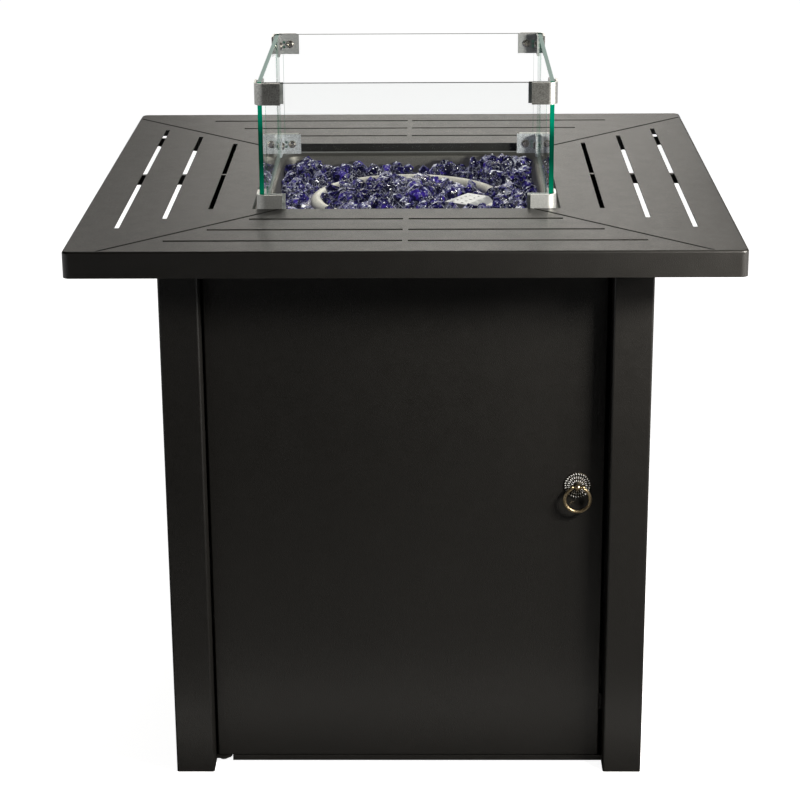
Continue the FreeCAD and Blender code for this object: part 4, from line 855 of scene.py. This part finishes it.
clock = Recipe("copies_round_a_circle", {"Count": 24, "Radius": 0.01, "Height": 0.001, "Length": 0.004,
                                         "Width": 0.001, "Thickness": 0.001, "Slant": 0.0,
                                         "Finish": bead_brass})
grain_ball = clock.add("GeometryNodeMeshUVSphere", {}, {"Segments": 10, "Rings": 6, "Radius": 1.0})
smooth = clock.add("GeometryNodeSetShadeSmooth", {}, {0: grain_ball, "Shade Smooth": True})
hours = clock.add("GeometryNodeMeshCircle", {},
                  {"Vertices": clock.given("Count"), "Radius": clock.given("Radius")})
dots = clock.add("GeometryNodeMeshToPoints", {}, {0: hours})
raised = clock.add("ShaderNodeCombineXYZ", {}, {2: clock.given("Height")})
lifted = clock.add("GeometryNodeSetPosition", {}, {"Geometry": dots, "Offset": raised})
order = Number(clock, clock.add("GeometryNodeInputIndex").outputs[0])
angle = order * (2 * math.pi) / clock.given("Count") + clock.given("Slant")
facing = clock.add("ShaderNodeCombineXYZ", {}, {2: angle})
size = clock.add("ShaderNodeCombineXYZ", {}, {0: clock.given("Length"), 1: clock.given("Width"),
                                              2: clock.given("Thickness")})
dealt = clock.add("GeometryNodeInstanceOnPoints", {},
                  {"Points": lifted, "Instance": smooth, "Rotation": facing, "Scale": size})
clock.close(dealt, clock.given("Finish"))
print("recipe:", clock.tree.name)

# %% The backplate
disc = lathe("rosette_disc", [(2.0, 0.0), (15.0, 0.0), (15.0, 1.0), (14.4, 1.5), (12.6, 1.5), (12.2, 1.0),
                              (9.6, 1.2), (8.6, 2.2), (6.8, 2.5), (6.2, 3.4), (4.6, 4.3), (3.4, 4.8),
                              (2.0, 5.0)])
bpy.context.scene.collection.objects.link(disc)
disc.data.materials.append(rosette_brass)
relief = [
    disc,
    clock.make("rope", Count=30, Radius=13.6 * MM, Height=1.6 * MM, Length=1.2 * MM, Width=0.62 * MM,
               Thickness=0.9 * MM, Slant=0.5),
    clock.make("petals", Count=26, Radius=9.6 * MM, Height=1.6 * MM, Length=2.0 * MM, Width=0.52 * MM,
               Thickness=0.8 * MM),
    clock.make("crown", Count=18, Radius=6.2 * MM, Height=3.2 * MM, Length=1.6 * MM, Width=0.50 * MM,
               Thickness=0.8 * MM),
]


def merged(name, pieces, placement):
    """One object from several, moved into place through its mesh."""
    mesh = bmesh.new()
    finishes = []
    for piece in pieces:
        finish = piece.data.materials[0]
        if finish not in finishes:
            finishes.append(finish)
        known = len(mesh.faces)
        mesh.from_mesh(piece.data)
        mesh.faces.ensure_lookup_table()
        for face in mesh.faces[known:]:
            face.material_index = finishes.index(finish)
    mesh.transform(placement)
    result = bpy.data.meshes.new(name)
    mesh.to_mesh(result)
    mesh.free()
    for finish in finishes:
        result.materials.append(finish)
    for piece in pieces:
        bpy.data.objects.remove(piece)
    joined = bpy.data.objects.new(name, result)
    bpy.context.scene.collection.objects.link(joined)
    return joined


rosette = merged("rosette", relief, Matrix.Translation(ROSETTE) @ Matrix.Rotation(math.radians(90), 4, "X"))
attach(rosette, "door")
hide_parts("handle_rosette")
print("rosette faces:", len(rosette.data.polygons))

# %% [markdown]
# The studio: a white floor that runs out of sight, and light that is soft everywhere. The camera and
# a clear pane see the floor white, with the shadow still on it, a mirror sees it bright behind and
# beside the table, and as a source of light it is dark, so the space under the top stays dark.

# %% Floor
FLOOR_REACH = 14.0


def floor_paint():
    paint = Paint("studio_floor")
    path = paint.add("ShaderNodeLightPath")
    seen = Number(paint, path.outputs["Is Camera Ray"]) + Number(paint, path.outputs["Is Transmission Ray"])
    glimpsed = Number(paint, path.outputs["Is Glossy Ray"])
    x, y = paint.parts_of(paint.place)[:2]
    lit_part = paint.maths("MAXIMUM", (y - 0.3) * 2.5, (abs(x) - 1.2) * 2.5).clamp()
    far = (paint.maths("POWER", x * x + y * y, 0.5) - 1.3).clamp()
    glow = seen.clamp() * (far * 0.07 + 0.94) + glimpsed * lit_part
    return paint.finish(paint.principled({
        "Base Color": paint.blend(seen.clamp(), rgba(0.06, 0.06, 0.06), rgba(0.80, 0.80, 0.80)),
        "Emission Color": paint.blend(glow, rgba(0, 0, 0), rgba(1, 1, 1)), "Emission Strength": 1.0,
        "Roughness": 0.9, "Specular IOR Level": 0.0}))


floor_mesh = bpy.data.meshes.new("studio_floor")
corners = [(-1, -1, 0), (1, -1, 0), (1, 1, 0), (-1, 1, 0)]
floor_mesh.from_pydata([Vector(corner) * FLOOR_REACH for corner in corners], [], [(0, 1, 2, 3)])
floor = bpy.data.objects.new("studio_floor", floor_mesh)
floor_mesh.materials.append(floor_paint())
bpy.context.scene.collection.objects.link(floor)
print("floor:", FLOOR_REACH * 2, "m across")

# %% Sky


def studio_sky(backdrop, front):
    """White for the camera; for the table, a pale backdrop behind it and a dark room before it."""
    world = bpy.data.worlds.new("studio")
    bpy.context.scene.world = world
    world.use_nodes = True
    sky = Graph(world.node_tree)
    sky.tree.nodes.clear()
    path = sky.add("ShaderNodeLightPath")
    seen = Number(sky, path.outputs["Is Camera Ray"]) + Number(sky, path.outputs["Is Transmission Ray"])
    seen = seen.clamp()
    way = sky.parts_of(sky.add("ShaderNodeTexCoord").outputs["Generated"])
    behind = (way[1] * 0.9 + 0.35).clamp()
    room = behind * (backdrop - front) + front
    strength = seen + (1.0 - seen) * room
    back = sky.add("ShaderNodeBackground", {}, {"Color": rgba(1, 1, 1), "Strength": strength})
    sky.add("ShaderNodeOutputWorld", {}, {0: back})


studio_sky(backdrop=0.05, front=0.005)

# %% [markdown]
# Two small lamps at the right light the front and leave the black shadow under the top. Two long low
# ones brighten the foot, as a white floor does. Three large ones behind make the sheen on the top.

# %% Lamps
LAMP_COLOUR = (1.0, 0.96, 0.89)


def softbox(name, place, aim, width, height, watts):
    lamp = bpy.data.lights.new(name, "AREA")
    lamp.shape = "RECTANGLE"
    lamp.size, lamp.size_y, lamp.energy = width, height, watts
    lamp.color = LAMP_COLOUR
    holder = bpy.data.objects.new(name, lamp)
    holder.location = place
    holder.rotation_euler = (Vector(aim) - Vector(place)).to_track_quat("-Z", "Y").to_euler()
    bpy.context.scene.collection.objects.link(holder)
    return holder


DOOR_TOP, TABLE_TOP = (0.2, -0.3, 0.55), (0, 0, 0.6)
softbox("near_right", (0.65, -0.65, 0.83), DOOR_TOP, 0.2, 0.09, 9)
softbox("far_right", (1.1, -0.60, 0.80), DOOR_TOP, 0.2, 0.09, 6.4)
softbox("low_front", (0, -0.39, 0.012), (0, -0.27, 0.0), 1.1, 0.024, 0.17)
softbox("low_far", (-0.1, -0.66, 0.03), (-0.1, -0.27, 0.25), 1.3, 0.05, 0.2)
softbox("rear_middle", (0.1, 2.8, 1.6), TABLE_TOP, 1.2, 0.9, 11.2)
softbox("rear_left", (-1.4, 2.6, 1.7), TABLE_TOP, 1.2, 0.9, 5)
softbox("rear_high", (0.1, 2.2, 2.4), TABLE_TOP, 1.6, 0.9, 4.6)

# %% [markdown]
# The camera stands where the photographer stood: a little above the table's top, with a long lens.
# Its angles were worked out from the outline of the real table.

# %% Camera
PICTURE_WIDTH, SENSOR_WIDTH = 800, 36.0
FOCAL_PIXELS = 2272.6
YAW, PITCH, ROLL = math.radians(-0.838), math.radians(18.580), math.radians(-0.375)
CAMERA_PLACE = (0.02756, -2.62437, 1.24614)


def camera_axes(yaw, pitch, roll):
    ahead = Vector((math.sin(yaw) * math.cos(pitch), math.cos(yaw) * math.cos(pitch), -math.sin(pitch)))
    right = Vector((math.cos(yaw), -math.sin(yaw), 0))
    up = right.cross(ahead)
    side = right * math.cos(roll) + up * math.sin(roll)
    top = up * math.cos(roll) - right * math.sin(roll)
    return side, top, -ahead


lens = bpy.data.cameras.new("photographer")
lens.sensor_width = SENSOR_WIDTH
lens.lens = FOCAL_PIXELS / PICTURE_WIDTH * SENSOR_WIDTH
lens.clip_end = 60
camera = bpy.data.objects.new("photographer", lens)
turned_axes = Matrix(camera_axes(YAW, PITCH, ROLL)).transposed().to_4x4()
camera.matrix_world = Matrix.Translation(CAMERA_PLACE) @ turned_axes
bpy.context.scene.collection.objects.link(camera)
bpy.context.scene.camera = camera
bpy.context.scene.view_settings.view_transform = "Standard"
print("lens:", round(lens.lens, 1), "mm")
